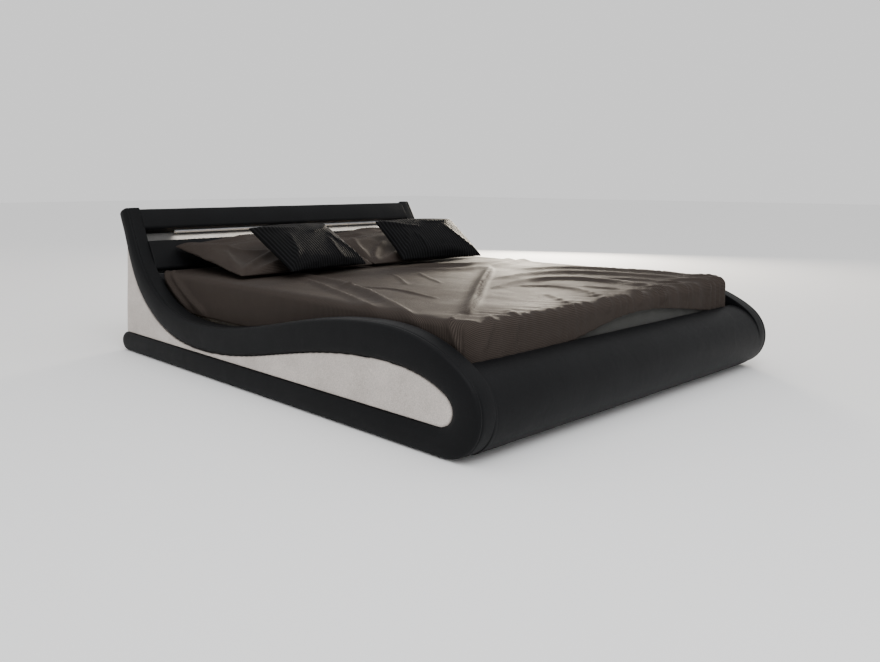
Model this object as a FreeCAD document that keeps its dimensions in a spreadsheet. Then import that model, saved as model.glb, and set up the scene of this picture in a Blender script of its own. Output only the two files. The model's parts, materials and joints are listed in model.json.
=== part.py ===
"""Low wave-sided sleigh bed with a padded frame, a lit headboard slot, slats, mattress and pillows.

Millimetres. +Z is up, +Y runs from the foot to the head, X is the width and the plane X = 0 is the
plane of symmetry. The origin is on the floor, under the middle of the bed's outline.
"""
import FreeCAD, Part
import math
import os
import Sketcher

Vector = FreeCAD.Vector

# ---------------------------------------------------------------- driving dimensions
SIZES = {
    # overall: the mattress sets the width and length, and the headboard's lean adds to the length
    "mattress_width": 1800,
    "mattress_length": 2000,
    "bed_height": 716,
    "side_gap": 30,
    "side_thickness": 80,
    "glide_height": 3,
    # mattress and its place
    "mattress_height": 200,
    "mattress_top": 400,
    "mattress_corner": 55,
    "mattress_edge": 22,
    "cover_thickness": 3,
    "cover_drop": 180,
    "bedding_clearance": 0.4,
    # side outline: a padded band that runs as one wave from head to foot and back as a runner
    "nose_radius": 148,
    "nose_turn": 55,
    "nose_depth": 112,
    "crest_place": 435,
    "crest_height": 381,
    "crest_depth": 122,
    "dip_back": 735,
    "dip_height": 224,
    "dip_depth": 113,
    "sweep_forward": 99,
    "sweep_height": 294,
    "sweep_depth": 111,
    "slope_forward": 7,
    "slope_height": 409,
    "slope_depth": 105,
    "cap_depth": 78,
    "cap_bulge": 8,
    "runner_height": 94,
    "back_inset": 73,
    "window_nose_radius": 56,
    "window_nose_turn": 60,
    "edge_padding": 18,
    "face_padding": 22,
    "panel_pad_thickness": 14,
    # foot roll
    "roll_radius": 139,
    "roll_setback": 2,
    "roll_flat": 10,
    "roll_lift": 1,
    "roll_padding": 15,
    "roll_shell": 6,
    "foot_gap": 4,
    "board_thickness": 18,
    "rib_spacing": 440,
    # headboard, measured down its leaning face and back from it
    "head_lean": 32,
    "rail_face": 122,
    "rail_depth": 62,
    "rail_padding": 16,
    "rail_rounding": 20,
    "slot_height": 66,
    "pad_above_mattress": 15,
    "pad_over_mattress": 1,
    "lower_pad_thickness": 30,
    "backing_thickness": 6,
    "backing_inset": 4,
    "backing_overlap": 28,
    "batten_inset": 3,
    "former_spacing": 620,
    "rear_inset": 2,
    "board_lift": 24,
    "rear_cover_thickness": 4,
    "head_gap": 6,
    # light
    "led_length": 600,
    "led_spacing": 900,
    "channel_width": 16,
    "channel_depth": 8,
    "channel_wall": 1.2,
    "channel_back": 30,
    "strip_width": 10,
    "strip_thickness": 1.5,
    "diffuser_thickness": 1.6,
    "driver_length": 160,
    "driver_width": 45,
    "driver_depth": 28,
    "driver_place": 280,
    "driver_height": 270,
    "inlet_width": 30,
    "inlet_height": 23,
    "inlet_depth": 22,
    "inlet_rim": 3,
    "inlet_lip": 1.5,
    "inlet_place": 500,
    "inlet_level": 120,
    "switch_place": 860,
    "switch_radius": 12,
    "switch_depth": 8,
    "switch_wall": 3,
    "button_radius": 8,
    "button_depth": 7,
    "button_travel": 2,
    "button_clearance": 0.3,
    # slatted base
    "slat_count": 11,
    "slat_width": 90,
    "slat_thickness": 18,
    "slat_end_margin": 45,
    "slat_side_gap": 15,
    "support_rail_width": 40,
    "support_rail_height": 60,
    "beam_width": 60,
    "leg_radius": 22,
    "leg_count": 3,
    "leg_end_distance": 380,
    "tape_width": 20,
    "tape_thickness": 1.5,
    "tape_spacing": 1100,
    "bracket_leg": 55,
    "bracket_height": 90,
    "bracket_thickness": 4,
    "bracket_level": 26,
    "bolt_radius": 4,
    "bolt_length": 20,
    "bolt_head_radius": 7,
    "bolt_head_depth": 5,
    "bolt_spacing": 50,
    "glide_radius": 16,
    "glide_inset": 40,
    # pillows and cushions
    "pillow_width": 800,
    "pillow_depth": 620,
    "pillow_lower": 30,
    "pillow_upper": 80,
    "pillow_crown": 120,
    "pillow_gap": 16,
    "pillow_lean": 9,
    "pillow_back": 269,
    "pillow_level": 68,
    "cushion_width": 500,
    "cushion_depth": 360,
    "cushion_lower": 35,
    "cushion_upper": 55,
    "cushion_crown": 90,
    "cushion_lean": 31,
    "cushion_level": 132,
    "left_cushion_back": 538,
    "left_cushion_shift": 8,
    "left_cushion_turn": 6,
    "right_cushion_back": 556,
    "right_cushion_shift": 12,
    "right_cushion_turn": -14,
}


# sizes that follow from the driving ones, kept in the same sheet
lean_tangent = math.tan(math.radians(SIZES["head_lean"]))
lean_cosine = math.cos(math.radians(SIZES["head_lean"]))
pad_foot_height = SIZES["mattress_top"] + SIZES["cover_thickness"] + SIZES["pad_above_mattress"]
SIZES["roll_depth"] = SIZES["roll_radius"] - SIZES["roll_flat"]
SIZES["foot_length"] = SIZES["roll_setback"] + SIZES["roll_depth"] + SIZES["foot_gap"]
SIZES["head_length"] = (SIZES["bed_height"] - pad_foot_height) * lean_tangent - SIZES["pad_over_mattress"]
SIZES["bed_length"] = (
    SIZES["foot_length"]
    + SIZES["mattress_length"]
    + SIZES["head_length"]
    + SIZES["cap_depth"] * lean_cosine
)
SIZES["bed_width"] = SIZES["mattress_width"] + 2 * (SIZES["side_gap"] + SIZES["side_thickness"])
SIZES["pillow_spacing"] = SIZES["pillow_width"] + SIZES["pillow_gap"]

document = FreeCAD.newDocument("sleigh_bed")
sheet = document.addObject("Spreadsheet::Sheet", "Sizes")
for row, (alias, number) in enumerate(SIZES.items(), start=1):
    sheet.set(f"A{row}", alias)
    sheet.set(f"B{row}", str(number))
    sheet.setAlias(f"B{row}", alias)
document.recompute()

nodes = []


def size(alias):
    """A driving dimension, read back from the sheet."""
    return float(sheet.get(alias))


def cell(formula):
    """An expression in which every driving dimension is looked up in the sheet."""
    words = []
    word = ""
    for letter in formula + " ":
        if letter.isalnum() or letter == "_" or letter == ".":
            word += letter
            continue
        words.append(f"Sizes.{word}" if word in SIZES else word)
        words.append(letter)
        word = ""
    return "".join(words).strip()


def keep(part, label):
    """Name a finished sub-part; its label is also its file name."""
    part.Label = label
    nodes.append(part)
    return part


# ---------------------------------------------------------------- building blocks
def place(part, x="0", y="0", z="0"):
    """Bind an object's position to formulas of the driving dimensions."""
    part.setExpression("Placement.Base.x", cell(x))
    part.setExpression("Placement.Base.y", cell(y))
    part.setExpression("Placement.Base.z", cell(z))
    return part


def box(name, length, width, height, x, y, z):
    """A board or bar: its three sizes and its lowest corner are formulas."""
    part = document.addObject("Part::Box", name)
    part.setExpression("Length", cell(length))
    part.setExpression("Width", cell(width))
    part.setExpression("Height", cell(height))
    return place(part, x, y, z)


def cylinder(name, radius, height, x, y, z="0", direction=Vector(0, 0, 1)):
    """A round bar, standing or lying along a direction."""
    part = document.addObject("Part::Cylinder", name)
    part.Placement.Rotation = FreeCAD.Rotation(Vector(0, 0, 1), direction)
    part.setExpression("Radius", cell(radius))
    part.setExpression("Height", cell(height))
    return place(part, x, y, z)


def cut(name, base, tool):
    """One object with another taken away."""
    part = document.addObject("Part::Cut", name)
    part.Base = base
    part.Tool = tool
    return part


def group(name, members):
    """Identical loose solids kept together in one node."""
    part = document.addObject("Part::Compound", name)
    part.Links = members
    return part


def body_plane(body, role):
    """One of a body's own origin planes."""
    return next(item for item in body.Origin.OriginFeatures if item.Role == role)


def new_sketch(body, name, role, offset="0"):
    """A sketch on a body's origin plane, moved along the plane's normal by a formula."""
    sketch = body.newObject("Sketcher::SketchObject", name)
    sketch.AttachmentSupport = [(body_plane(body, role), "")]
    sketch.MapMode = "FlatFace"
    sketch.setExpression("AttachmentOffset.Base.z", cell(offset))
    return sketch


def outline_body(name, outline, start, depth):
    """A body whose side outline, in Y and Z, is padded along X from start by depth."""
    body = document.addObject("PartDesign::Body", name)
    sketch = new_sketch(body, name + "_outline", "YZ_Plane", start)
    sketch.addGeometry(outline, False)
    pad = body.newObject("PartDesign::Pad", name + "_pad")
    pad.Profile = sketch
    pad.setExpression("Length", cell(depth))
    return body


def pocket_outline(body, name, outline, start, depth):
    """Take an outline away from a body, along +X from start by depth."""
    sketch = new_sketch(body, name + "_outline", "YZ_Plane", start)
    sketch.addGeometry(outline, False)
    pocket = body.newObject("PartDesign::Pocket", name)
    pocket.Profile = sketch
    pocket.Reversed = True
    pocket.setExpression("Length", cell(depth))
    return pocket


def polygon(points):
    """A closed outline of straight edges through points given as (y, z)."""
    corners = [Vector(y, z, 0) for y, z in points]
    following = corners[1:] + corners[:1]
    return [Part.LineSegment(start, end) for start, end in zip(corners, following)]


def rectangle_sketch(body, name, width, depth, level="0"):
    """A level rectangle about the body's origin, held by constraints bound to formulas."""
    sketch = new_sketch(body, name, "XY_Plane", level)
    half = 10
    corners = [(-half, -half), (half, -half), (half, half), (-half, half)]
    sketch.addGeometry(polygon(corners), False)
    for edge in range(4):
        sketch.addConstraint(Sketcher.Constraint("Coincident", edge, 2, (edge + 1) % 4, 1))
    for edge, direction in enumerate(("Horizontal", "Vertical", "Horizontal", "Vertical")):
        sketch.addConstraint(Sketcher.Constraint(direction, edge))
    sketch.addConstraint(Sketcher.Constraint("Symmetric", 0, 1, 2, 1, -1, 1))
    across = sketch.addConstraint(Sketcher.Constraint("DistanceX", 0, 1, 0, 2, 2 * half))
    along = sketch.addConstraint(Sketcher.Constraint("DistanceY", 1, 1, 1, 2, 2 * half))
    sketch.setExpression(f"Constraints[{across}]", cell(width))
    sketch.setExpression(f"Constraints[{along}]", cell(depth))
    return sketch


# ---------------------------------------------------------------- the side outline
# Outlines are drawn in (Y, Z). The upper edge runs from the nose over the crest and the dip up to
# the cap; the window is the opening inside the band, which the light panel fills.
FOOT = -size("bed_length") / 2
FLOOR = size("glide_height")
LEAN = math.radians(size("head_lean"))
UP_LEAN = Vector(math.sin(LEAN), math.cos(LEAN), 0)
BACK_LEAN = Vector(math.cos(LEAN), -math.sin(LEAN), 0)
CAP = Vector(-FOOT - size("cap_depth") * math.cos(LEAN), size("bed_height"), 0)
BACK_EDGE = -FOOT - size("back_inset")
LEVEL = Vector(1, 0, 0)
FREE = Vector(0, 0, 0)


def before_face(forward, height):
    """A point at a height, at a distance in front of the line of the headboard's leaning face."""
    return Vector(CAP.x - (CAP.y - height) * math.tan(LEAN) - forward, height, 0)


STATIONS = {
    "crest": Vector(FOOT + size("crest_place"), size("crest_height"), 0),
    "dip": Vector(CAP.x - size("dip_back"), size("dip_height"), 0),
    "sweep": before_face(size("sweep_forward"), size("sweep_height")),
    "slope": before_face(size("slope_forward"), size("slope_height")),
    "cap": CAP,
}


def nose_points(centre, radius, turn):
    """Lowest, front and last point of the arc round the foot, and its direction at the end."""
    angle = math.radians(turn)
    bottom = centre + Vector(0, -radius, 0)
    front = centre + Vector(-radius, 0, 0)
    last = centre + Vector(-radius * math.cos(angle), radius * math.sin(angle), 0)
    return bottom, front, last, Vector(math.sin(angle), math.cos(angle), 0)


def wave_curve(start, direction, stations):
    """A smooth curve from the nose, level at the crest and the dip, leaning at the cap."""
    curve = Part.BSplineCurve()
    curve.interpolate(
        Points=[start] + stations,
        Tangents=[direction, LEVEL, LEVEL, FREE, FREE, UP_LEAN],
        TangentFlags=[True, True, True, False, False, True],
    )
    return curve


NOSE_CENTRE = Vector(FOOT + size("nose_radius"), FLOOR + size("nose_radius"), 0)
WINDOW_CENTRE = Vector(
    FOOT + size("nose_depth") + size("window_nose_radius"),
    size("runner_height") + size("window_nose_radius"),
    0,
)
NOSE = nose_points(NOSE_CENTRE, size("nose_radius"), size("nose_turn"))
UPPER_EDGE = wave_curve(NOSE[2], NOSE[3], list(STATIONS.values()))


def inward(station, distance):
    """A point of the upper edge moved square to it, into the band."""
    point = STATIONS[station]
    along = UPPER_EDGE.tangent(UPPER_EDGE.parameter(point))[0]
    return point + Vector(along.y, -along.x, 0) * distance


def upper_curve(inset):
    """The nose arc and the upper edge, both moved into the band by an inset."""
    bottom, front, last, direction = nose_points(
        NOSE_CENTRE, size("nose_radius") - inset, size("nose_turn")
    )
    stations = [inward(name, inset) for name in STATIONS]
    stations[-1] -= UP_LEAN * inset
    return Part.Arc(bottom, front, last), wave_curve(last, direction, stations)


def window_curve(inset):
    """The window's nose arc and the band's lower edge, moved into the band by an inset."""
    bottom, front, last, direction = nose_points(
        WINDOW_CENTRE, size("window_nose_radius") + inset, size("window_nose_turn")
    )
    stations = [inward(name, size(name + "_depth") - inset) for name in STATIONS]
    stations[-1] -= UP_LEAN * inset
    return Part.Arc(bottom, front, last), wave_curve(last, direction, stations)


def split_at_back(curve):
    """The parts of a band edge in front of the side panel's back edge and behind it."""
    upright = Part.LineSegment(Vector(BACK_EDGE, 0, 0), Vector(BACK_EDGE, size("bed_height"), 0))
    crossing = curve.intersect(upright)[0]
    middle = curve.parameter(Vector(crossing.X, crossing.Y, 0))
    front = curve.copy()
    front.segment(curve.FirstParameter, middle)
    rear = curve.copy()
    rear.segment(middle, curve.LastParameter)
    return front, rear


def line(start, end):
    """A straight edge."""
    return Part.LineSegment(start, end)


def band_outline():
    """The padded band: over the wave, round the nose and back along the floor."""
    nose, upper = upper_curve(0)
    window_nose, lower = window_curve(0)
    front_cap = upper.EndPoint
    rear_cap = lower.EndPoint
    cap_top = (front_cap + rear_cap) / 2 + UP_LEAN * size("cap_bulge")
    end_radius = (size("runner_height") - FLOOR) / 2
    runner_top = Vector(BACK_EDGE, size("runner_height"), 0)
    runner_tip = runner_top + Vector(end_radius, -end_radius, 0)
    runner_bottom = Vector(BACK_EDGE, FLOOR, 0)
    return [
        line(nose.StartPoint, runner_bottom),
        Part.Arc(runner_bottom, runner_tip, runner_top),
        line(runner_top, window_nose.StartPoint),
        window_nose,
        lower,
        Part.Arc(rear_cap, cap_top, front_cap),
        upper,
        nose,
    ]


def panel_outline():
    """The light panel: a long lens and a rear triangle joined through the band's low point."""
    window_nose, lower = window_curve(0)
    front, _ = split_at_back(lower)
    corner = Vector(BACK_EDGE, size("runner_height"), 0)
    return [
        window_nose,
        front,
        line(front.EndPoint, corner),
        line(corner, window_nose.StartPoint),
    ]


def core_outline():
    """The board inside a side, inset under the edge padding."""
    padding = size("edge_padding")
    nose, upper = upper_curve(padding)
    _, lower = window_curve(padding)
    _, rear = split_at_back(lower)
    corner = Vector(BACK_EDGE, nose.StartPoint.y, 0)
    return [
        line(nose.StartPoint, corner),
        line(corner, rear.StartPoint),
        rear,
        line(rear.EndPoint, upper.EndPoint),
        upper,
        nose,
    ]


INNER_FACE = {"left": "-bed_width / 2", "right": "bed_width / 2 - side_thickness"}
CORE_FACE = {"left": "-bed_width / 2 + face_padding", "right": "bed_width / 2 - side_thickness"}
PANEL_FACE = {
    "left": "-bed_width / 2 + face_padding - panel_pad_thickness",
    "right": "bed_width / 2 - face_padding",
}
CORE_THICKNESS = "side_thickness - face_padding"


def make_side(hand):
    """One side: a core board, the padded band around its edge and the light panel on its face."""
    surround = outline_body("surround_" + hand, band_outline(), INNER_FACE[hand], "side_thickness")
    pocket_outline(
        surround, "surround_recess_" + hand, core_outline(), CORE_FACE[hand], CORE_THICKNESS
    )
    keep(surround, "side_surround_" + hand)
    core = outline_body("core_" + hand, core_outline(), CORE_FACE[hand], CORE_THICKNESS)
    keep(core, "side_core_" + hand)
    panel = outline_body(
        "panel_" + hand, panel_outline(), PANEL_FACE[hand], "panel_pad_thickness"
    )
    keep(panel, "side_panel_" + hand)


for hand in ("left", "right"):
    make_side(hand)

# ---------------------------------------------------------------- places shared by the inner parts
INSIDE = "bed_width / 2 - side_thickness"
INSIDE_WIDTH = "bed_width - 2 * side_thickness"
ROLL_BACK = "-bed_length / 2 + roll_setback + roll_depth"
MATTRESS_FOOT = "-bed_length / 2 + foot_length"
HEAD_FRONT = f"{MATTRESS_FOOT} + mattress_length + head_gap"
SLAT_TOP = "mattress_top - mattress_height"
SLAT_BOTTOM = f"{SLAT_TOP} - slat_thickness"
RAIL_BOTTOM = f"{SLAT_BOTTOM} - support_rail_height"


def across(name, outline, label):
    """A piece with one side outline that runs the whole way between the two sides."""
    return keep(outline_body(name, outline, f"-({INSIDE})", INSIDE_WIDTH), label)


# ---------------------------------------------------------------- foot roll
ROLL_Y = FOOT + size("roll_setback") + size("roll_radius")
ROLL_Z = FLOOR + size("roll_lift") + size("roll_radius")
ROLL_CUT = FOOT + size("roll_setback") + size("roll_depth")
BOARD_FRONT = ROLL_CUT - size("board_thickness")


def roll_point(radius, y, sign):
    """Where a circle about the roll's axis crosses an upright plane, above or below the axis."""
    return Vector(y, ROLL_Z + sign * math.sqrt(radius**2 - (y - ROLL_Y) ** 2), 0)


def roll_layer(outer, inner):
    """A half ring about the roll's axis, cut off flat at the back."""
    outer_low = roll_point(outer, ROLL_CUT, -1)
    outer_high = roll_point(outer, ROLL_CUT, 1)
    inner_low = roll_point(inner, ROLL_CUT, -1)
    inner_high = roll_point(inner, ROLL_CUT, 1)
    return [
        Part.Arc(outer_low, Vector(ROLL_Y - outer, ROLL_Z, 0), outer_high),
        line(outer_high, inner_high),
        Part.Arc(inner_high, Vector(ROLL_Y - inner, ROLL_Z, 0), inner_low),
        line(inner_low, outer_low),
    ]


SHELL_RADIUS = size("roll_radius") - size("roll_padding")
RIB_RADIUS = SHELL_RADIUS - size("roll_shell")
across("roll_cover", roll_layer(size("roll_radius"), SHELL_RADIUS), "foot_cover")
across("roll_shell", roll_layer(SHELL_RADIUS, RIB_RADIUS), "foot_shell")

rib_low = roll_point(RIB_RADIUS, BOARD_FRONT, -1)
rib_high = roll_point(RIB_RADIUS, BOARD_FRONT, 1)
rib_outline = [
    Part.Arc(rib_low, Vector(ROLL_Y - RIB_RADIUS, ROLL_Z, 0), rib_high),
    line(rib_high, rib_low),
]
ribs = [
    outline_body(
        f"roll_rib_{number}", rib_outline, f"{number - 2} * rib_spacing - board_thickness / 2",
        "board_thickness",
    )
    for number in range(5)
]
keep(group("roll_ribs", ribs), "foot_ribs")
board_outline = polygon(
    [
        (BOARD_FRONT, rib_low.y),
        (ROLL_CUT, rib_low.y),
        (ROLL_CUT, rib_high.y),
        (BOARD_FRONT, rib_high.y),
    ]
)
across("roll_board", board_outline, "foot_board")


# ---------------------------------------------------------------- headboard
def lean(down, back):
    """A point given by its distance down the leaning face from the cap, and back from the face."""
    point = CAP - UP_LEAN * down + BACK_LEAN * back
    return point.x, point.y


def lean_formula(down, back):
    """The same point as a pair of formulas of the driving dimensions."""
    y = (
        "bed_length / 2 - cap_depth * cos(head_lean)"
        f" - ({down}) * sin(head_lean) + ({back}) * cos(head_lean)"
    )
    z = f"bed_height - ({down}) * cos(head_lean) - ({back}) * sin(head_lean)"
    return y, z


def lean_bar(top, bottom, front, back):
    """The four corners of a bar that lies along the leaning face."""
    return [lean(top, front), lean(bottom, front), lean(bottom, back), lean(top, back)]


def rounded_bar(top, bottom, front, back, radius):
    """A leaning bar whose two front corners are rounded."""
    corners = [Vector(y, z, 0) for y, z in lean_bar(top, bottom, front, back)]
    top_front, bottom_front, bottom_back, top_back = corners
    slack = radius * (1 - math.sqrt(0.5))
    top_start = top_front + BACK_LEAN * radius
    top_end = top_front - UP_LEAN * radius
    top_middle = top_front + (BACK_LEAN - UP_LEAN) * slack
    low_start = bottom_front + UP_LEAN * radius
    low_end = bottom_front + BACK_LEAN * radius
    low_middle = bottom_front + (BACK_LEAN + UP_LEAN) * slack
    return [
        line(top_back, top_start),
        Part.Arc(top_start, top_middle, top_end),
        line(top_end, low_start),
        Part.Arc(low_start, low_middle, low_end),
        line(low_end, bottom_back),
        line(bottom_back, top_back),
    ]


RAIL_BACK = size("rail_depth")
RAIL_END = size("rail_face")
PADDING = size("rail_padding")
SLOT_END = RAIL_END + size("slot_height")
PAD_END = (size("bed_height") - pad_foot_height) / math.cos(LEAN)
PAD_BACK = size("lower_pad_thickness")
BOARD_BACK = PAD_BACK + size("board_thickness")
BACKING_BACK = RAIL_BACK + size("backing_thickness")
BACKING_END = SLOT_END + size("backing_overlap")
REAR_BACK = BACKING_BACK + size("rear_cover_thickness")
REAR_Y = BACK_EDGE - size("rear_inset")
REAR_END = (CAP.x + REAR_BACK * math.cos(LEAN) - REAR_Y) / math.sin(LEAN)
REAR_TOP = lean(REAR_END, REAR_BACK)[1]
COVER_Y = REAR_Y - size("rear_cover_thickness")
HEAD_Y = FOOT + size("foot_length") + size("mattress_length") + size("head_gap")
HEAD_BACK = HEAD_Y + size("board_thickness")
HEAD_TOP = lean(PAD_END, BOARD_BACK)[1]
LIFT = size("board_lift")

rail_cover = across(
    "rail_cover", rounded_bar(0, RAIL_END, 0, RAIL_BACK, size("rail_rounding")), "head_rail_cover"
)
rail_core_outline = polygon(lean_bar(PADDING, RAIL_END - PADDING, PADDING, RAIL_BACK))
pocket_outline(rail_cover, "rail_recess", rail_core_outline, f"-({INSIDE})", INSIDE_WIDTH)
across("rail_core", rail_core_outline, "head_rail_core")
across(
    "lower_pad", rounded_bar(SLOT_END, PAD_END, 0, PAD_BACK, PAD_BACK / 2), "head_lower_pad"
)
across("lower_board", polygon(lean_bar(SLOT_END, PAD_END, PAD_BACK, BOARD_BACK)), "head_lower_board")
across(
    "batten",
    polygon(lean_bar(SLOT_END + size("batten_inset"), BACKING_END, BOARD_BACK, RAIL_BACK)),
    "head_batten",
)
across(
    "backing",
    polygon(lean_bar(size("backing_inset"), BACKING_END, RAIL_BACK, BACKING_BACK)),
    "head_backing_board",
)
across(
    "rear_upper",
    polygon(lean_bar(size("backing_inset"), REAR_END, BACKING_BACK, REAR_BACK)),
    "head_rear_cover_upper",
)
across(
    "head_upright",
    polygon([(HEAD_Y, LIFT), (HEAD_BACK, LIFT), (HEAD_BACK, HEAD_TOP), (HEAD_Y, HEAD_TOP)]),
    "head_board",
)

rear_lower = outline_body(
    "rear_lower",
    polygon([(COVER_Y, LIFT), (REAR_Y, LIFT), (REAR_Y, REAR_TOP), (COVER_Y, REAR_TOP)]),
    f"-({INSIDE})",
    INSIDE_WIDTH,
)
inlet_hole = box(
    "inlet_hole",
    "inlet_width",
    "3 * rear_cover_thickness",
    "inlet_height",
    "inlet_place - inlet_width / 2",
    "bed_length / 2 - back_inset - rear_inset - 2 * rear_cover_thickness",
    "inlet_level - inlet_height / 2",
)
keep(cut("rear_lower_cut", rear_lower, inlet_hole), "head_rear_cover_lower")

former_meets_cover = (CAP.x + BACKING_BACK * math.cos(LEAN) - COVER_Y) / math.sin(LEAN)
former_outline = [
    (HEAD_BACK, LIFT),
    (COVER_Y, LIFT),
    lean(former_meets_cover, BACKING_BACK),
    lean(BACKING_END, BACKING_BACK),
    lean(BACKING_END, BOARD_BACK),
    lean(PAD_END, BOARD_BACK),
    (HEAD_BACK, HEAD_TOP),
]
for step, former in enumerate(("left", "centre", "right"), start=-1):
    body = outline_body(
        "former_" + former,
        polygon(former_outline),
        f"{step} * former_spacing - board_thickness / 2",
        "board_thickness",
    )
    keep(body, "head_former_" + former)

# ---------------------------------------------------------------- light in the headboard slot
WALL = size("channel_wall")
CHANNEL_FRONT = size("channel_back")
CHANNEL_BACK = CHANNEL_FRONT + size("channel_width")
CHANNEL_END = RAIL_END + size("channel_depth")
STRIP_FRONT = (CHANNEL_FRONT + CHANNEL_BACK - size("strip_width")) / 2
channel_outline = [
    lean(RAIL_END, CHANNEL_FRONT),
    lean(CHANNEL_END, CHANNEL_FRONT),
    lean(CHANNEL_END, CHANNEL_FRONT + WALL),
    lean(RAIL_END + WALL, CHANNEL_FRONT + WALL),
    lean(RAIL_END + WALL, CHANNEL_BACK - WALL),
    lean(CHANNEL_END, CHANNEL_BACK - WALL),
    lean(CHANNEL_END, CHANNEL_BACK),
    lean(RAIL_END, CHANNEL_BACK),
]
strip_outline = lean_bar(
    RAIL_END + WALL,
    RAIL_END + WALL + size("strip_thickness"),
    STRIP_FRONT,
    STRIP_FRONT + size("strip_width"),
)
diffuser_outline = lean_bar(
    CHANNEL_END - size("diffuser_thickness"),
    CHANNEL_END,
    CHANNEL_FRONT + WALL,
    CHANNEL_BACK - WALL,
)
LIGHT_PIECES = {
    "led_channel": channel_outline,
    "led_strip": strip_outline,
    "led_diffuser": diffuser_outline,
}
for hand, sign in (("left", "-"), ("right", "")):
    for piece, outline in LIGHT_PIECES.items():
        start = f"{sign}led_spacing / 2 - led_length / 2"
        body = outline_body(f"{piece}_body_{hand}", polygon(outline), start, "led_length")
        keep(body, f"{piece}_{hand}")

driver = box(
    "driver",
    "driver_length",
    "driver_depth",
    "driver_width",
    "driver_place",
    f"{HEAD_FRONT} + board_thickness",
    "driver_height",
)
keep(driver, "led_driver")

inlet_body = box(
    "inlet_body",
    "inlet_width",
    "inlet_depth",
    "inlet_height",
    "inlet_place - inlet_width / 2",
    "bed_length / 2 - back_inset - rear_inset - inlet_depth",
    "inlet_level - inlet_height / 2",
)
inlet_flange = box(
    "inlet_flange",
    "inlet_width + 2 * inlet_rim",
    "inlet_lip",
    "inlet_height + 2 * inlet_rim",
    "inlet_place - inlet_width / 2 - inlet_rim",
    "bed_length / 2 - back_inset - rear_inset",
    "inlet_level - inlet_height / 2 - inlet_rim",
)
inlet = document.addObject("Part::Fuse", "inlet")
inlet.Base = inlet_body
inlet.Tool = inlet_flange
keep(inlet, "power_inlet")

TOWARDS_ROOM = Vector(0, -math.cos(LEAN), math.sin(LEAN))
SWITCH_DOWN = "rail_face + slot_height / 2"
SWITCH_FLOOR = "rail_depth - switch_wall"
BUTTON_FLOOR = f"{SWITCH_FLOOR} - button_travel - button_clearance"
switch_y, switch_z = lean_formula(SWITCH_DOWN, "rail_depth")
bore_y, bore_z = lean_formula(SWITCH_DOWN, SWITCH_FLOOR)
button_y, button_z = lean_formula(SWITCH_DOWN, BUTTON_FLOOR)
switch_barrel = cylinder(
    "switch_barrel", "switch_radius", "switch_depth", "switch_place", switch_y, switch_z,
    TOWARDS_ROOM,
)
switch_bore = cylinder(
    "switch_bore", "button_radius + button_clearance", "switch_depth", "switch_place",
    bore_y, bore_z, TOWARDS_ROOM,
)
keep(cut("switch_cup", switch_barrel, switch_bore), "switch_housing")
button = cylinder(
    "button", "button_radius", "button_depth", "switch_place", button_y, button_z, TOWARDS_ROOM
)
keep(button, "switch_button")

# ---------------------------------------------------------------- slatted base
BASE_LENGTH = f"({HEAD_FRONT}) - ({ROLL_BACK})"
for hand, start in (("left", f"-({INSIDE})"), ("right", f"{INSIDE} - support_rail_width")):
    rail = box(
        "support_rail_body_" + hand,
        "support_rail_width",
        BASE_LENGTH,
        "support_rail_height",
        start,
        ROLL_BACK,
        RAIL_BOTTOM,
    )
    keep(rail, "support_rail_" + hand)
beam = box(
    "beam", "beam_width", BASE_LENGTH, "support_rail_height", "-beam_width / 2", ROLL_BACK, RAIL_BOTTOM
)
keep(beam, "centre_beam")

LEG_STEP = "(mattress_length / 2 - leg_end_distance)"
MIDDLE = f"{MATTRESS_FOOT} + mattress_length / 2"
glides = []
for step, place_name in enumerate(("foot", "middle", "head"), start=-1):
    leg_y = f"{MIDDLE} + {step} * {LEG_STEP}"
    leg = cylinder(
        "leg_" + place_name, "leg_radius", f"{RAIL_BOTTOM} - glide_height", "0", leg_y, "glide_height"
    )
    keep(leg, "centre_leg_" + place_name)
    glides.append(cylinder("leg_glide_" + place_name, "glide_radius", "glide_height", "0", leg_y))

RUNNER_FRONT = "-bed_length / 2 + nose_radius + glide_inset"
RUNNER_REAR = "bed_length / 2 - back_inset - glide_inset"
RUNNER_PLACES = (RUNNER_FRONT, f"({RUNNER_FRONT} + {RUNNER_REAR}) / 2", RUNNER_REAR)
for sign in ("-", ""):
    for runner_y in RUNNER_PLACES:
        runner_x = f"{sign}(bed_width - side_thickness) / 2"
        name = f"runner_glide_{len(glides)}"
        glides.append(cylinder(name, "glide_radius", "glide_height", runner_x, runner_y))
keep(group("glides", glides), "floor_glides")

SLAT_FIRST = f"{MATTRESS_FOOT} + slat_end_margin"
SLAT_STEP = "(mattress_length - 2 * slat_end_margin - slat_width) / (slat_count - 1)"
for number in range(int(size("slat_count"))):
    slat = box(
        f"slat_body_{number + 1}",
        f"{INSIDE_WIDTH} - 2 * slat_side_gap",
        "slat_width",
        "slat_thickness",
        f"-({INSIDE}) + slat_side_gap",
        f"{SLAT_FIRST} + {number} * {SLAT_STEP}",
        SLAT_BOTTOM,
    )
    keep(slat, f"slat_{number + 1:02d}")
tapes = [
    box(
        "slat_tape" + sign,
        "tape_width",
        "mattress_length - 2 * slat_end_margin",
        "tape_thickness",
        f"{side} * tape_spacing / 2 - tape_width / 2",
        SLAT_FIRST,
        f"{SLAT_BOTTOM} - tape_thickness",
    )
    for sign, side in (("_left", -1), ("_right", 1))
]
keep(group("tapes", tapes), "slat_tapes")


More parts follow.
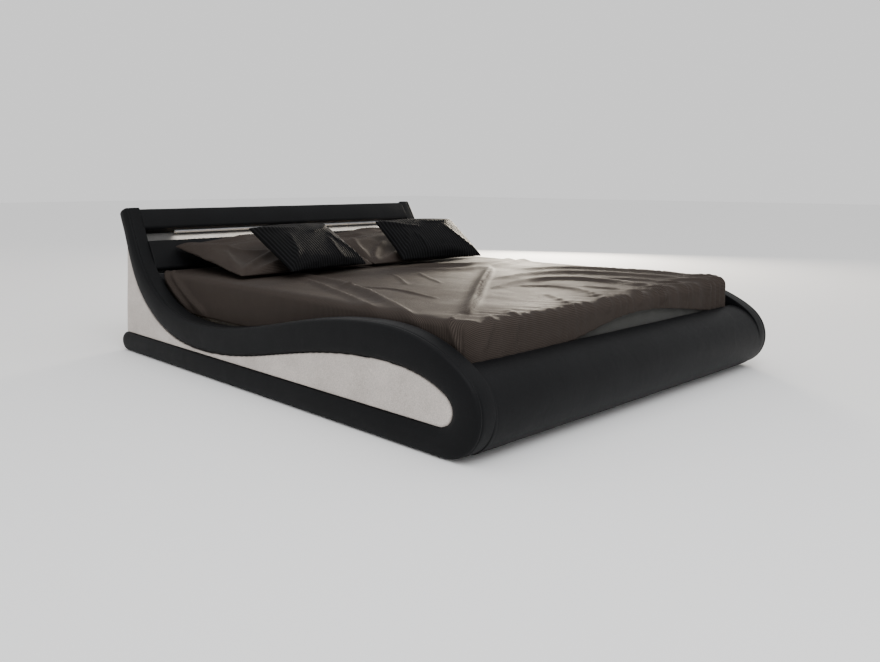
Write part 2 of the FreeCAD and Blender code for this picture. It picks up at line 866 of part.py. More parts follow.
# ---------------------------------------------------------------- corner brackets and bolts
def bolt(name, x, y, z, direction):
    """A round-headed bolt: its head on the plate, its shank through it, along a direction."""
    head = cylinder(name + "_head", "bolt_head_radius", "bolt_head_depth", x, y, z, -direction)
    shank = cylinder(name + "_shank", "bolt_radius", "bolt_length", x, y, z, direction)
    whole = document.addObject("Part::Fuse", name)
    whole.Base = head
    whole.Tool = shank
    return whole, shank


def corner(name, side, end, end_plane):
    """An angle plate in one corner of the base with its four bolts; side and end are -1 or 1."""
    inner = f"({INSIDE})"
    plate_on_side = box(
        name + "_side_plate",
        "bracket_thickness",
        "bracket_leg",
        "bracket_height",
        f"{side} * {inner} - {(1 + side) // 2} * bracket_thickness",
        f"{end_plane} - {(1 + end) // 2} * bracket_leg",
        "bracket_level",
    )
    plate_on_end = box(
        name + "_end_plate",
        "bracket_leg",
        "bracket_thickness",
        "bracket_height",
        f"{side} * {inner} - {(1 + side) // 2} * bracket_leg",
        f"{end_plane} - {(1 + end) // 2} * bracket_thickness",
        "bracket_level",
    )
    angle = document.addObject("Part::Fuse", name + "_angle")
    angle.Base = plate_on_side
    angle.Tool = plate_on_end
    bolts = []
    shanks = []
    middle = "(bracket_leg + bracket_thickness) / 2"
    for step, level in ((-1, "low"), (1, "high")):
        z = f"bracket_level + bracket_height / 2 + {step} * bolt_spacing / 2"
        side_bolt, side_shank = bolt(
            f"{name}_side_bolt_{level}",
            f"{side} * ({inner} - bracket_thickness)",
            f"{end_plane} - {end} * {middle}",
            z,
            Vector(side, 0, 0),
        )
        end_bolt, end_shank = bolt(
            f"{name}_end_bolt_{level}",
            f"{side} * ({inner} - {middle})",
            f"{end_plane} - {end} * bracket_thickness",
            z,
            Vector(0, end, 0),
        )
        bolts += [side_bolt, end_bolt]
        shanks += [side_shank, end_shank]
    plate = cut(name + "_plate", angle, group(name + "_shanks", shanks))
    return plate, bolts


plates = []
all_bolts = []
for side, side_name in ((-1, "left"), (1, "right")):
    for end, end_name, plane in ((-1, "foot", f"({ROLL_BACK})"), (1, "head", f"({HEAD_FRONT})")):
        plate, bolts = corner(f"corner_{end_name}_{side_name}", side, end, plane)
        plates.append(plate)
        all_bolts += bolts
keep(group("plates", plates), "corner_brackets")
keep(group("bolts", all_bolts), "bracket_bolts")


# ---------------------------------------------------------------- mattress and its fitted cover
def soft_block(name, width, length, height, x, y, z):
    """A block with rounded upright corners and softened top and bottom edges."""
    block = box(name + "_block", width, length, height, x, y, z)
    document.recompute()
    upright = []
    level = []
    for number, edge in enumerate(block.Shape.Edges, start=1):
        along = edge.tangentAt(edge.FirstParameter)
        if abs(along.z) > 0.5:
            upright.append((number, size("mattress_corner"), size("mattress_corner")))
        else:
            level.append(number)
    corners = document.addObject("Part::Fillet", name + "_corners")
    corners.Base = block
    corners.Edges = upright
    document.recompute()
    rim = []
    for number, edge in enumerate(corners.Shape.Edges, start=1):
        along = edge.tangentAt(edge.FirstParameter)
        if abs(along.z) < 0.5:
            rim.append((number, size("mattress_edge"), size("mattress_edge")))
    softened = document.addObject("Part::Fillet", name + "_rim")
    softened.Base = corners
    softened.Edges = rim
    return softened


mattress = soft_block(
    "mattress_body",
    "mattress_width",
    "mattress_length",
    "mattress_height - bedding_clearance",
    "-mattress_width / 2",
    MATTRESS_FOOT,
    f"{SLAT_TOP} + bedding_clearance",
)
keep(mattress, "mattress")
cover_outside = soft_block(
    "cover_outside",
    "mattress_width + 2 * cover_thickness",
    "mattress_length + 2 * cover_thickness",
    "cover_drop + mattress_corner",
    "-mattress_width / 2 - cover_thickness",
    f"{MATTRESS_FOOT} - cover_thickness",
    "mattress_top + cover_thickness - cover_drop - mattress_corner",
)
cover_below = box(
    "cover_below",
    "bed_width",
    "bed_length",
    "mattress_corner",
    "-bed_width / 2",
    "-bed_length / 2",
    "mattress_top + cover_thickness - cover_drop - mattress_corner",
)
cover_skin = cut("cover_skin", cover_outside, mattress)
keep(cut("cover_open", cover_skin, cover_below), "mattress_cover")


# ---------------------------------------------------------------- pillows and cushions
def soft_pad(name, kind, x, back, level, turn, label):
    """A stuffed pad lofted from a small underside through its full outline to a crowned top.

    Its place is its middle across, its distance from the mattress's head end, and its height."""
    body = document.addObject("PartDesign::Body", name)
    smaller = f" - 2 * {kind}_crown"
    sections = [
        rectangle_sketch(
            body, name + "_under", f"{kind}_width{smaller}", f"{kind}_depth{smaller}", f"-{kind}_lower"
        ),
        rectangle_sketch(body, name + "_seam", f"{kind}_width", f"{kind}_depth"),
        rectangle_sketch(
            body, name + "_top", f"{kind}_width{smaller}", f"{kind}_depth{smaller}", f"{kind}_upper"
        ),
    ]
    document.recompute()
    loft = body.newObject("PartDesign::AdditiveLoft", name + "_loft")
    loft.Profile = sections[0]
    loft.Sections = sections[1:]
    turned = FreeCAD.Rotation(Vector(0, 0, 1), turn)
    leaned = FreeCAD.Rotation(Vector(1, 0, 0), size(kind + "_lean"))
    body.Placement = FreeCAD.Placement(Vector(0, 0, 0), turned * leaned)
    place(body, x, f"{MATTRESS_FOOT} + mattress_length - {back}", f"mattress_top + {level}")
    return keep(body, label)


for hand, side in (("left", -1), ("right", 1)):
    pillow_middle = f"{side} * pillow_spacing / 2"
    soft_pad(
        "pillow_body_" + hand, "pillow", pillow_middle, "pillow_back", "pillow_level", 0,
        "pillow_" + hand,
    )
    soft_pad(
        "cushion_body_" + hand, "cushion", f"{pillow_middle} + {hand}_cushion_shift",
        hand + "_cushion_back", "cushion_level", size(hand + "_cushion_turn"), "cushion_" + hand,
    )

# ---------------------------------------------------------------- check and write
document.recompute()
for item in document.Objects:
    if "Invalid" in item.State or "Error" in item.State:
        raise RuntimeError(f"{item.Label} is not valid: {item.State}")
os.makedirs("parts", exist_ok=True)
for part in nodes:
    shape = part.Shape
    if shape.isNull() or not shape.isValid() or shape.Volume <= 0:
        raise RuntimeError(f"{part.Label} has no valid solid")
    shape.exportStep(f"parts/{part.Label}.step")
print(len(nodes), "nodes written")
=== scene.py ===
"""The finished look of a low wave-sided sleigh bed, built as an add-on round its fixed frame."""

import json
import math

import bmesh
import bpy
from bpy.props import FloatProperty, FloatVectorProperty, PointerProperty
from mathutils import Matrix, Vector, noise
from mathutils.bvhtree import BVHTree
from mathutils.kdtree import KDTree


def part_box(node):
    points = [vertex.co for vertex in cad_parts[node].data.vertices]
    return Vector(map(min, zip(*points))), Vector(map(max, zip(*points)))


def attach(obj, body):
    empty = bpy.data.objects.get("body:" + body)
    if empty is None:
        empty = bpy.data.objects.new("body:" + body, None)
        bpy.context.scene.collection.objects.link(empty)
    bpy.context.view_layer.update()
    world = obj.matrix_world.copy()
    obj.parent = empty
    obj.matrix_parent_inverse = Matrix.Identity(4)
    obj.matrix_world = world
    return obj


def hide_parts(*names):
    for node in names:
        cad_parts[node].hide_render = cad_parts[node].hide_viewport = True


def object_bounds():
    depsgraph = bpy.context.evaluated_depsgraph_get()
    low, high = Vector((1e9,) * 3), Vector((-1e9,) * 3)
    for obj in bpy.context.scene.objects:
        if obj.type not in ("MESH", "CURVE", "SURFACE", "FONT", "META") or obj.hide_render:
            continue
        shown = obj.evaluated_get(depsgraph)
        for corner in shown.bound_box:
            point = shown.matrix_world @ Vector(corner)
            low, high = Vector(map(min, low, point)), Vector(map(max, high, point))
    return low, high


bl_info = {
    "name": "Wave Sleigh Bed",
    "version": (1, 0, 0),
    "blender": (4, 5, 0),
    "location": "View3D > Sidebar > Sleigh Bed",
    "description": "Upholstery, bedding and finishes of a low wave-sided sleigh bed",
    "category": "Add Mesh",
}

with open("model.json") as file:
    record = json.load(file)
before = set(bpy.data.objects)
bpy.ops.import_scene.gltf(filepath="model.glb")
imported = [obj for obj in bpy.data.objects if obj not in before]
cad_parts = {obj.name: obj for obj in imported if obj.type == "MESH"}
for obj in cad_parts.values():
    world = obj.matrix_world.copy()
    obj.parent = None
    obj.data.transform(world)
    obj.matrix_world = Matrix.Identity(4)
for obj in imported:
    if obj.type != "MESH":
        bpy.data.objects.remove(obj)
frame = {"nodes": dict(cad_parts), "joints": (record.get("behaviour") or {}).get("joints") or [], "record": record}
CAD_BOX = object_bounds()
NODES = frame["nodes"]
HANDS = {"left": -1, "right": 1}
BED = "bed_frame"
BACK = Vector(next(j["axis"] for j in frame["joints"] if j["name"] == "switch_press"))
UP = Vector((0, -BACK.z, BACK.y))
SLOT_OF = {part["node"]: part["material_slot"] for part in frame["record"]["subparts"]}


def length(name, description, default, top=5.0):
    """A size in metres that the sidebar shows."""
    return FloatProperty(
        name=name, description=description, default=default, min=0.0, max=top, unit="LENGTH",
        precision=4,
    )


def share(name, description, default, top=1.0):
    """A plain number that the sidebar shows."""
    return FloatProperty(name=name, description=description, default=default, min=0.0, max=top)


def angle(name, description, degrees):
    """An angle that the sidebar shows in degrees."""
    return FloatProperty(
        name=name, description=description, default=math.radians(degrees), subtype="ANGLE"
    )


def colour(name, description, default):
    """A colour that the sidebar shows."""
    return FloatVectorProperty(
        name=name, description=description, default=default, size=3, min=0.0, max=1.0,
        subtype="COLOR",
    )


# ---------------------------------------------------------------- sizes and colours
class LeatherSettings(bpy.types.PropertyGroup):
    """Colours and grain of the imitation leather."""

    black: colour(
        "Black leather", "Colour of the padded bands, roll and headboard", (0.0040, 0.0042, 0.0048)
    )
    pale: colour("Pale leather", "Colour of the panels inside the bands", (0.50, 0.455, 0.42))
    lining: colour("Slot lining", "Colour of the lining behind the light", (0.10, 0.098, 0.095))
    grain: length("Grain", "Distance between the pebbles of the grain", 0.0032, 0.05)
    gloss: share("Roughness", "How dull the black leather is", 0.52)


class BandSettings(bpy.types.PropertyGroup):
    """Sizes of the padded bands on the two sides."""

    nose_radius: length("Nose radius", "Radius of the side's rounded foot end", 0.148)
    spacing: length("Station spacing", "Distance between the cross-sections along a band", 0.030)
    crown: length("Crown", "How far the padding stands proud in the middle", 0.005, 0.02)
    seam: length("Seam inset", "Distance of the sewn seam from the outer face", 0.021, 0.06)
    groove: length("Seam depth", "Depth of the sewn seam", 0.0035, 0.01)


class FootSettings(bpy.types.PropertyGroup):
    """Sizes of the rounded foot roll."""

    radius: length("Radius", "Radius of the roll", 0.139, 0.5)
    seam: length("End seam", "Distance of the second seam from the roll's end", 0.016, 0.2)
    groove: length("Seam depth", "Depth of the roll's seams", 0.0008, 0.01)
    dent: length("Dents", "How uneven the padding is", 0.0011, 0.01)


class HeadSettings(bpy.types.PropertyGroup):
    """Sizes of the headboard's pads and the brightness of its light."""

    rail_corner: length("Rail corner", "Radius of the top rail's front corners", 0.020, 0.03)
    pad_corner: length("Pad corner", "Radius of the lower pad's front corners", 0.014, 0.03)
    crown: length("Crown", "How far the pads bulge in the middle", 0.003, 0.02)
    cover: share("Cover glow", "Brightness of the light strip's own cover", 0.17, 200.0)
    light: share("Light strength", "Watts of each half of the light in the slot", 0.9, 200.0)
    glow: colour("Light colour", "Colour of the light strip", (1.0, 0.93, 0.84))


class CoverSettings(bpy.types.PropertyGroup):
    """Sizes and colours of the mattress and its ribbed fitted cover."""

    cell: length("Cloth cell", "Size of the cloth's mesh cells", 0.011, 0.05)
    thickness: length("Cloth thickness", "Thickness of the cover's cloth", 0.0016, 0.01)
    corner: length("Corner radius", "Radius of the mattress's upright corners", 0.055, 0.2)
    edge: length("Edge radius", "Radius of the mattress's top and bottom edges", 0.022, 0.1)
    rib: length("Rib pitch", "Distance between the ribs of the bed cloth", 0.0072, 0.05)
    hem: length("Hem height", "Height of the foot hem at the corners", 0.255)
    raised_hem: length("Raised hem height", "Height of the foot hem where it has ridden up", 0.341)
    gather: length("Gather height", "Height of the gathers along the foot", 0.0105, 0.05)
    gather_pitch: length("Gather pitch", "Distance between the gathers along the foot", 0.066, 0.5)
    folds: share("Folds", "Height of the cover's folds, 1 for as sewn", 1.35, 3.0)
    cloth: colour("Bed cloth", "Colour of the cover and the pillows", (0.038, 0.0301, 0.0258))
    ticking: colour("Mattress cloth", "Colour of the mattress's own cloth", (0.019, 0.019, 0.016))


class PillowSettings(bpy.types.PropertyGroup):
    """Sizes of the two pillows."""

    lean: angle("Lean", "How far the pillows tip forward", 9.0)
    cell: length("Cloth cell", "Size of the cloth's mesh cells", 0.011, 0.05)
    width: length("Cut width", "Width of a pillow's case before it is filled", 0.86)
    depth: length("Cut depth", "Depth of a pillow's case before it is filled", 0.68)
    pressure: share("Filling", "Pressure of the filling", 0.38, 20.0)
    slack: share("Slack", "How much looser the case is than its filling", 0.06, 0.3)


class CushionSettings(bpy.types.PropertyGroup):
    """Sizes and colour of the two ribbed cushions."""

    lean: angle("Lean", "How far the cushions lean back", 31.0)
    left_turn: angle("Left turn", "Turn of the left cushion, seen from above", 6.0)
    right_turn: angle("Right turn", "Turn of the right cushion, seen from above", -14.0)
    cell: length("Cloth cell", "Size of the cloth's mesh cells", 0.009, 0.05)
    width: length("Cut width", "Width of a cushion's case before it is filled", 0.535)
    depth: length("Cut depth", "Depth of a cushion's case before it is filled", 0.395)
    rib: length("Rib pitch", "Distance between the cords of the cloth", 0.0165, 0.05)
    pressure: share("Filling", "Pressure of the filling", 0.65, 20.0)
    slack: share("Slack", "How much looser the case is than its filling", 0.03, 0.3)
    cloth: colour("Cushion cloth", "Colour of the cushions", (0.0045, 0.0045, 0.005))


class StageSettings(bpy.types.PropertyGroup):
    """Sizes and brightness of the studio round the bed."""

    floor: length("Floor", "Width of the pale floor", 60.0, 200.0)
    sun: share("Sun", "Brightness of the warm light from behind on the right", 260.0, 5000.0)
    glint: share("Glint", "Brightness of the narrow warm light on the far edge", 6.5, 5000.0)
    fill: share("Fill", "Brightness of the soft light from above on the left", 150.0, 5000.0)
    sky: share("Sky", "Brightness of the pale surroundings", 1.05, 10.0)


class BedSettings(bpy.types.PropertyGroup):
    """Everything that the sidebar offers."""

    leather: PointerProperty(type=LeatherSettings)
    band: PointerProperty(type=BandSettings)
    foot: PointerProperty(type=FootSettings)
    head: PointerProperty(type=HeadSettings)
    cover: PointerProperty(type=CoverSettings)
    pillow: PointerProperty(type=PillowSettings)
    cushion: PointerProperty(type=CushionSettings)
    stage: PointerProperty(type=StageSettings)


def settings():
    """The scene's bed settings."""
    return bpy.context.scene.sleigh_bed


# ---------------------------------------------------------------- finishes
class Finish:
    """A node material while it is being put together."""

    def __init__(self, name, **sockets):
        self.material = bpy.data.materials.new(name)
        self.material.use_nodes = True
        self.tree = self.material.node_tree
        self.tree.nodes.clear()
        self.shader = self.add("BsdfPrincipled", **sockets)
        output = self.add("OutputMaterial", Surface=self.shader.outputs["BSDF"])
        output.location = (400, 0)
        self.coordinates = self.add("TexCoord")
        self.object = self.coordinates.outputs["Object"]
        self.uv = self.coordinates.outputs["UV"]

    def add(self, kind, choices=None, **sockets):
        """Adds a node, sets its choices and fills or links its input sockets."""
        node = self.tree.nodes.new("ShaderNode" + kind)
        for key, value in (choices or {}).items():
            setattr(node, key, value)
        for name, value in sockets.items():
            self.fill(node.inputs[name.replace("_", " ")], value)
        return node

    def fill(self, socket, value):
        """Links a socket to another node's output, or gives it a plain value."""
        if isinstance(value, bpy.types.NodeSocket):
            self.tree.links.new(value, socket)
        elif hasattr(value, "__len__") and len(value) == 3 and socket.type == "RGBA":
            socket.default_value = (*value, 1.0)
        else:
            socket.default_value = value

    def placed(self, vector, scale=(1, 1, 1), turn=(0, 0, 0), shift=(0, 0, 0)):
        """The coordinates scaled, turned and shifted."""
        node = self.add("Mapping", Vector=vector, Location=shift, Rotation=turn, Scale=scale)
        return node.outputs["Vector"]

    def noise(self, vector, scale, detail=3.0, rough=0.5, distortion=0.0):
        """Soft random noise from 0 to 1."""
        node = self.add(
            "TexNoise", Vector=vector, Scale=scale, Detail=detail, Roughness=rough,
            Distortion=distortion,
        )
        return node.outputs["Fac"]

    def math(self, operation, first, second=0.0):
        """One sum of two values."""
        node = self.add("Math", {"operation": operation})
        self.fill(node.inputs[0], first)
        self.fill(node.inputs[1], second)
        return node.outputs["Value"]

    def mixed(self, *parts):
        """The sum of several patterns, each given with its weight."""
        total = None
        for pattern, weight in parts:
            weighed = self.math("MULTIPLY", pattern, weight)
            total = weighed if total is None else self.math("ADD", total, weighed)
        return total

    def span(self, value, low, high, start=0.0, end=1.0):
        """The value stretched from one range to another."""
        node = self.add(
            "MapRange", Value=value, From_Min=low, From_Max=high, To_Min=start, To_Max=end
        )
        return node.outputs["Result"]

    def blend(self, factor, first, second):
        """One colour fading into another."""
        node = self.add("Mix", {"data_type": "RGBA"})
        self.fill(node.inputs["Factor"], factor)
        self.fill(node.inputs[6], first)
        self.fill(node.inputs[7], second)
        return node.outputs[2]

    def bump(self, height, strength, distance):
        """Raises the surface by a height, on top of the bumps already there."""
        node = self.add("Bump", Height=height, Strength=strength, Distance=distance)
        normal = self.shader.inputs["Normal"]
        if normal.is_linked:
            self.fill(node.inputs["Normal"], normal.links[0].from_socket)
        self.fill(normal, node.outputs["Normal"])

    def paint(self, first, second, factor):
        """Gives the surface a colour that varies between two."""
        self.fill(self.shader.inputs["Base Color"], self.blend(factor, first, second))

    def dull(self, value, low, high):
        """Lets the roughness vary with a value from 0 to 1."""
        self.fill(self.shader.inputs["Roughness"], self.span(value, 0.25, 0.75, low, high))


# the wave texture's scale at which its bands come one metre apart
WAVE = math.tau / 20.0


def scaled(tint, factor):
    """A colour made lighter or darker."""
    return tuple(min(1.0, part * factor) for part in tint)


def leather(name, tint, roughness, grain_size):
    """Pebbled imitation leather with faint creases, uneven sheen and painted highlights on its grain."""
    finish = Finish(name, Roughness=roughness, Specular_IOR_Level=0.10)
    cloud = finish.noise(finish.object, 5.0, 4.0, 0.6)
    speck = finish.noise(finish.object, 300.0, 3.0, 0.7)
    # the fine speckle lightens the colour in small flecks as painted highlights of the grain; the cloud is the
    # leather's own uneven tone
    tone = finish.mixed((cloud, 0.35), (speck, 0.65))
    finish.paint(scaled(tint, 0.60), scaled(tint, 1.45), finish.span(tone, 0.3, 0.7))
    finish.dull(speck, roughness - 0.06, roughness + 0.10)
    pebble = finish.add(
        "TexVoronoi", {"feature": "SMOOTH_F1"},
        Vector=finish.object, Scale=1.0 / grain_size, Smoothness=0.35,
    )
    finish.bump(pebble.outputs["Distance"], 0.55, grain_size * 0.22)
    finish.bump(finish.noise(finish.object, 1.6 / grain_size, 3.0), 0.35, grain_size * 0.12)
    finish.bump(finish.noise(finish.object, 14.0, 3.0, 0.5, 0.6), 0.35, 0.004)
    return finish.material


def bed_cloth(name, tint, rib, along_uv):
    """Ribbed cotton: ribs that stand across the cloth, with a fine twill between them; their grooves carry painted
    shade and their tops painted highlights.
    """
    finish = Finish(name, Roughness=0.7, Specular_IOR_Level=0.06)
    source = finish.uv if along_uv else finish.object
    ribs = finish.add(
        "TexWave",
        {"wave_type": "BANDS", "bands_direction": "Y", "wave_profile": "SIN"},
        Vector=source, Scale=WAVE / rib, Distortion=0.25, Detail=1.0, Detail_Scale=0.6,
    ).outputs["Fac"]
    twill = finish.add(
        "TexWave",
        {"wave_type": "BANDS", "bands_direction": "DIAGONAL", "wave_profile": "SIN"},
        Vector=source, Scale=WAVE / rib * 1.7, Distortion=0.5, Detail=1.0,
    ).outputs["Fac"]
    fibre = finish.noise(finish.object, 900.0, 2.0)
    cloud = finish.noise(finish.object, 3.5, 3.0)
    # the ribs and the twill paint shade into their grooves and light onto their tops; the fibre and the cloud are
    # the cloth's own uneven tone
    tone = finish.mixed((ribs, 0.55), (fibre, 0.25), (twill, 0.12), (cloud, 0.22))
    finish.paint(scaled(tint, 0.50), scaled(tint, 1.50), finish.span(tone, 0.25, 0.95))
    finish.dull(cloud, 0.6, 0.78)
    finish.bump(ribs, 0.6, rib * 0.16)
    finish.bump(twill, 0.3, rib * 0.05)
    finish.bump(fibre, 0.3, 0.0004)
    return finish.material


def corded_cloth(name, tint, rib):
    """Cushion cloth with raised cords along the cloth, painted shade in the valleys between them and painted
    highlights on their tops.
    """
    finish = Finish(name, Roughness=0.75, Specular_IOR_Level=0.05)
    cords = finish.add(
        "TexWave",
        {"wave_type": "BANDS", "bands_direction": "X", "wave_profile": "SIN"},
        Vector=finish.uv, Scale=WAVE / rib, Distortion=0.12, Detail=1.0,
    ).outputs["Fac"]
    pile = finish.noise(finish.object, 700.0, 3.0)
    # the cords paint shade into the valleys and light onto their tops; the pile adds random tone
    tone = finish.mixed((cords, 0.8), (pile, 0.3))
    finish.paint(scaled(tint, 0.3), scaled(tint, 1.8), finish.span(tone, 0.2, 1.0))
    finish.dull(pile, 0.55, 0.8)
    finish.bump(cords, 0.9, rib * 0.22)
    finish.bump(pile, 0.15, 0.0004)
    return finish.material


def plain_cloth(name, tint, thread):
    """Woven cloth with crossing threads."""
    finish = Finish(name, Roughness=0.8, Specular_IOR_Level=0.3, Sheen_Weight=0.15)
    warp, weft = (
        finish.add(
            "TexWave", {"bands_direction": way}, Vector=finish.object, Scale=WAVE / thread
        ).outputs["Fac"]
        for way in "XZ"
    )
    weave = finish.math("MAXIMUM", warp, weft)
    cloud = finish.noise(finish.object, 9.0, 4.0)
    tone = finish.math("MULTIPLY", finish.math("ADD", weave, cloud), 0.5)
    finish.paint(scaled(tint, 0.7), scaled(tint, 1.25), finish.span(tone, 0.3, 0.9))
    finish.dull(cloud, 0.7, 0.88)
    finish.bump(weave, 0.5, thread * 0.3)
    return finish.material


def wood(name, tint, along, ring_scale):
    """Wood with rings stretched along one direction and fine pores."""
    finish = Finish(name, Roughness=0.55, Specular_IOR_Level=0.35)
    stretch = tuple(0.06 if axis == along else 1.0 for axis in range(3))
    path = finish.placed(finish.object, stretch)
    rings = finish.noise(path, ring_scale, 6.0, 0.6, 1.2)
    fine = finish.placed(finish.object, tuple(part * 6 for part in stretch))
    pores = finish.noise(fine, 60.0, 4.0)
    tone = finish.mixed((rings, 0.75), (pores, 0.25))
    finish.paint(scaled(tint, 0.62), scaled(tint, 1.22), finish.span(tone, 0.35, 0.66))
    finish.dull(pores, 0.45, 0.7)
    finish.bump(pores, 0.3, 0.0006)
    return finish.material


def metal(name, tint, roughness, metallic, scratch=(1.0, 1.0, 0.05)):
    """Brushed or coated metal with fine lines."""
    finish = Finish(name, Roughness=roughness, Metallic=metallic)
    lines = finish.noise(finish.placed(finish.object, scratch), 900.0, 3.0)
    cloud = finish.noise(finish.object, 20.0, 3.0)
    finish.paint(scaled(tint, 0.8), scaled(tint, 1.12), cloud)
    finish.dull(lines, roughness - 0.1, roughness + 0.12)
    finish.bump(lines, 0.2, 0.0002)
    return finish.material


def plastic(name, tint, roughness):
    """Moulded plastic with a fine texture."""
    finish = Finish(name, Roughness=roughness)
    speck = finish.noise(finish.object, 1500.0, 2.0)
    cloud = finish.noise(finish.object, 15.0, 2.0)
    finish.paint(scaled(tint, 0.85), scaled(tint, 1.12), cloud)
    finish.dull(speck, roughness - 0.05, roughness + 0.08)
    finish.bump(speck, 0.3, 0.0002)
    return finish.material


def felt(name, tint):
    """Pressed felt with tangled fibres."""
    finish = Finish(name, Roughness=0.95, Sheen_Weight=0.3)
    fibre = finish.noise(finish.object, 600.0, 5.0, 0.7, 2.0)
    finish.paint(scaled(tint, 0.6), scaled(tint, 1.4), fibre)
    finish.bump(fibre, 0.6, 0.0008)
    return finish.material


def glowing(name, tint, strength):
    """Milky plastic that gives off light."""
    finish = Finish(name, Roughness=0.4, Emission_Color=tint, Emission_Strength=strength)
    cloud = finish.noise(finish.object, 60.0, 2.0)
    finish.paint(scaled(tint, 0.10), scaled(tint, 0.14), cloud)
    finish.bump(cloud, 0.1, 0.0002)
    return finish.material


def make_finishes():
    """One finish for each of the record's material slots."""
    skin = settings().leather
    cover = settings().cover
    head = settings().head
    cushion = settings().cushion
    return {
        "band_leather": leather("black leather", skin.black, skin.gloss, skin.grain),
        "panel_leather": leather("pale leather", skin.pale, 0.5, skin.grain),
        "slot_lining": leather("lining leather", skin.lining, 0.6, 0.005),
        "plywood": wood("plywood", (0.58, 0.43, 0.27), 1, 30.0),
        "timber": wood("planed timber", (0.66, 0.50, 0.32), 0, 22.0),
        "slat_pine": wood("slat pine", (0.74, 0.58, 0.37), 0, 26.0),
        "rear_cloth": plain_cloth("rear cloth", (0.022, 0.022, 0.024), 0.0016),
        "light_channel": metal("satin aluminium", (0.72, 0.72, 0.74), 0.35, 1.0, (0.05, 1.0, 1.0)),
        "light_strip": plastic("light strip film", (0.85, 0.84, 0.76), 0.4),
        "light_diffuser": glowing("lit diffuser", head.glow, head.cover),
        "driver_case": plastic("driver case", (0.80, 0.80, 0.78), 0.5),
        "black_plastic": plastic("black plastic", (0.028, 0.028, 0.029), 0.45),
        "button_plastic": plastic("button plastic", (0.10, 0.10, 0.11), 0.35),
        "leg_steel": metal("powder-coated steel", (0.035, 0.035, 0.038), 0.5, 0.2),
        "bracket_steel": metal("bracket steel", (0.55, 0.55, 0.56), 0.38, 1.0),
        "bolt_steel": metal("bolt steel", (0.46, 0.46, 0.48), 0.3, 1.0),
        "slat_tape": plain_cloth("slat tape", (0.76, 0.74, 0.68), 0.0012),
        "glide_felt": felt("glide felt", (0.07, 0.065, 0.06)),
        "mattress_cloth": plain_cloth("mattress cloth", cover.ticking, 0.0018),
        "bed_cloth": bed_cloth("ribbed bed cloth", cover.cloth, cover.rib, True),
        "cushion_cloth": corded_cloth("corded cushion cloth", cushion.cloth, cushion.rib),
    }


def finish_for(slot_name):
    """The finish of a material slot, made once."""
    if not FINISHES:
        FINISHES.update(make_finishes())
    return FINISHES[slot_name]


FINISHES = {}


# ---------------------------------------------------------------- shaping
def merged_copy(node):
    """A CAD node's mesh as one joined surface."""
    shape = bmesh.new()
    shape.from_mesh(NODES[node].data)
    bmesh.ops.remove_doubles(shape, verts=shape.verts, dist=1e-5)
    return shape


def ray_tree(node):
    """A tree of a CAD node's faces for casting rays at."""
    shape = merged_copy(node)
    tree = BVHTree.FromBMesh(shape)
    shape.free()
    return tree


def struck(tree, origin, direction):
    """The point where a ray meets the tree."""
    point = tree.ray_cast(origin, direction)[0]
    if point is None:
        raise RuntimeError(f"nothing lies from {tuple(origin)} towards {tuple(direction)}")
    return point


def relaxed(points, rounds):
    """A row of points evened out, with its two ends kept."""
    row = [point.copy() for point in points]
    for _ in range(rounds):
        middle = [
            (before + here * 2.0 + after) / 4.0
            for before, here, after in zip(row, row[1:], row[2:])
        ]
        row = [row[0], *middle, row[-1]]
    return row


def evened(points, rounds):
    """A row of points evened out without drawing its curves tighter."""
    once = relaxed(points, rounds)
    return [point * 2.0 - drawn for point, drawn in zip(once, relaxed(once, rounds))]


def skin(rings):
    """A closed surface through rings of points of one length, with a face at each end."""
    shape = bmesh.new()
    columns = len(rings[0]) + 1
    bmesh.ops.create_grid(shape, x_segments=columns - 1, y_segments=len(rings) - 1, size=1.0)
    shape.verts.ensure_lookup_table()
    for row, ring in enumerate(rings):
        for column in range(columns):
            shape.verts[row * columns + column].co = ring[column % len(ring)]
    bmesh.ops.remove_doubles(shape, verts=shape.verts, dist=1e-6)
    bmesh.ops.holes_fill(shape, edges=[edge for edge in shape.edges if edge.is_boundary])
    guard_caps(shape, 0.002)
    return shape


def guard_caps(shape, margin):
    """Frames the many-sided end faces with a narrow rim, so that smoothing keeps their edges."""
    caps = [face for face in shape.faces if len(face.verts) > 4]
    bmesh.ops.inset_individual(shape, faces=caps, thickness=margin)


def wander(place, size, height, seed=0.0):
    """A smooth random height at a place, for uneven padding."""
    return noise.noise(place / size + Vector((seed, seed * 1.7, 0.0))) * height


def make_piece(name, shape, slot_name, body, stands_for=()):
    """Turns a finished shape into a named piece that rides on a body."""
    bmesh.ops.recalc_face_normals(shape, faces=shape.faces)
    mesh = bpy.data.meshes.new(name)
    shape.to_mesh(mesh)
    shape.free()
    mesh.shade_smooth()
    mesh.materials.append(finish_for(slot_name))
    piece = bpy.data.objects.new(name, mesh)
    bpy.context.scene.collection.objects.link(piece)
    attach(piece, body)
    if stands_for:
        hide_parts(*stands_for)
    return piece


def subdivide(piece, levels):
    """Smooths a piece with the same levels on screen and in the render."""
    modifier = piece.modifiers.new("Subdivision", "SUBSURF")
    modifier.levels = levels
    modifier.render_levels = levels
    return modifier


def lean_extent(node):
    """A node's lowest and highest distances across, up and back along the headboard's lean."""
    rows = [(v.co.x, v.co.dot(UP), v.co.dot(BACK)) for v in NODES[node].data.vertices]
    return [min(column) for column in zip(*rows)], [max(column) for column in zip(*rows)]


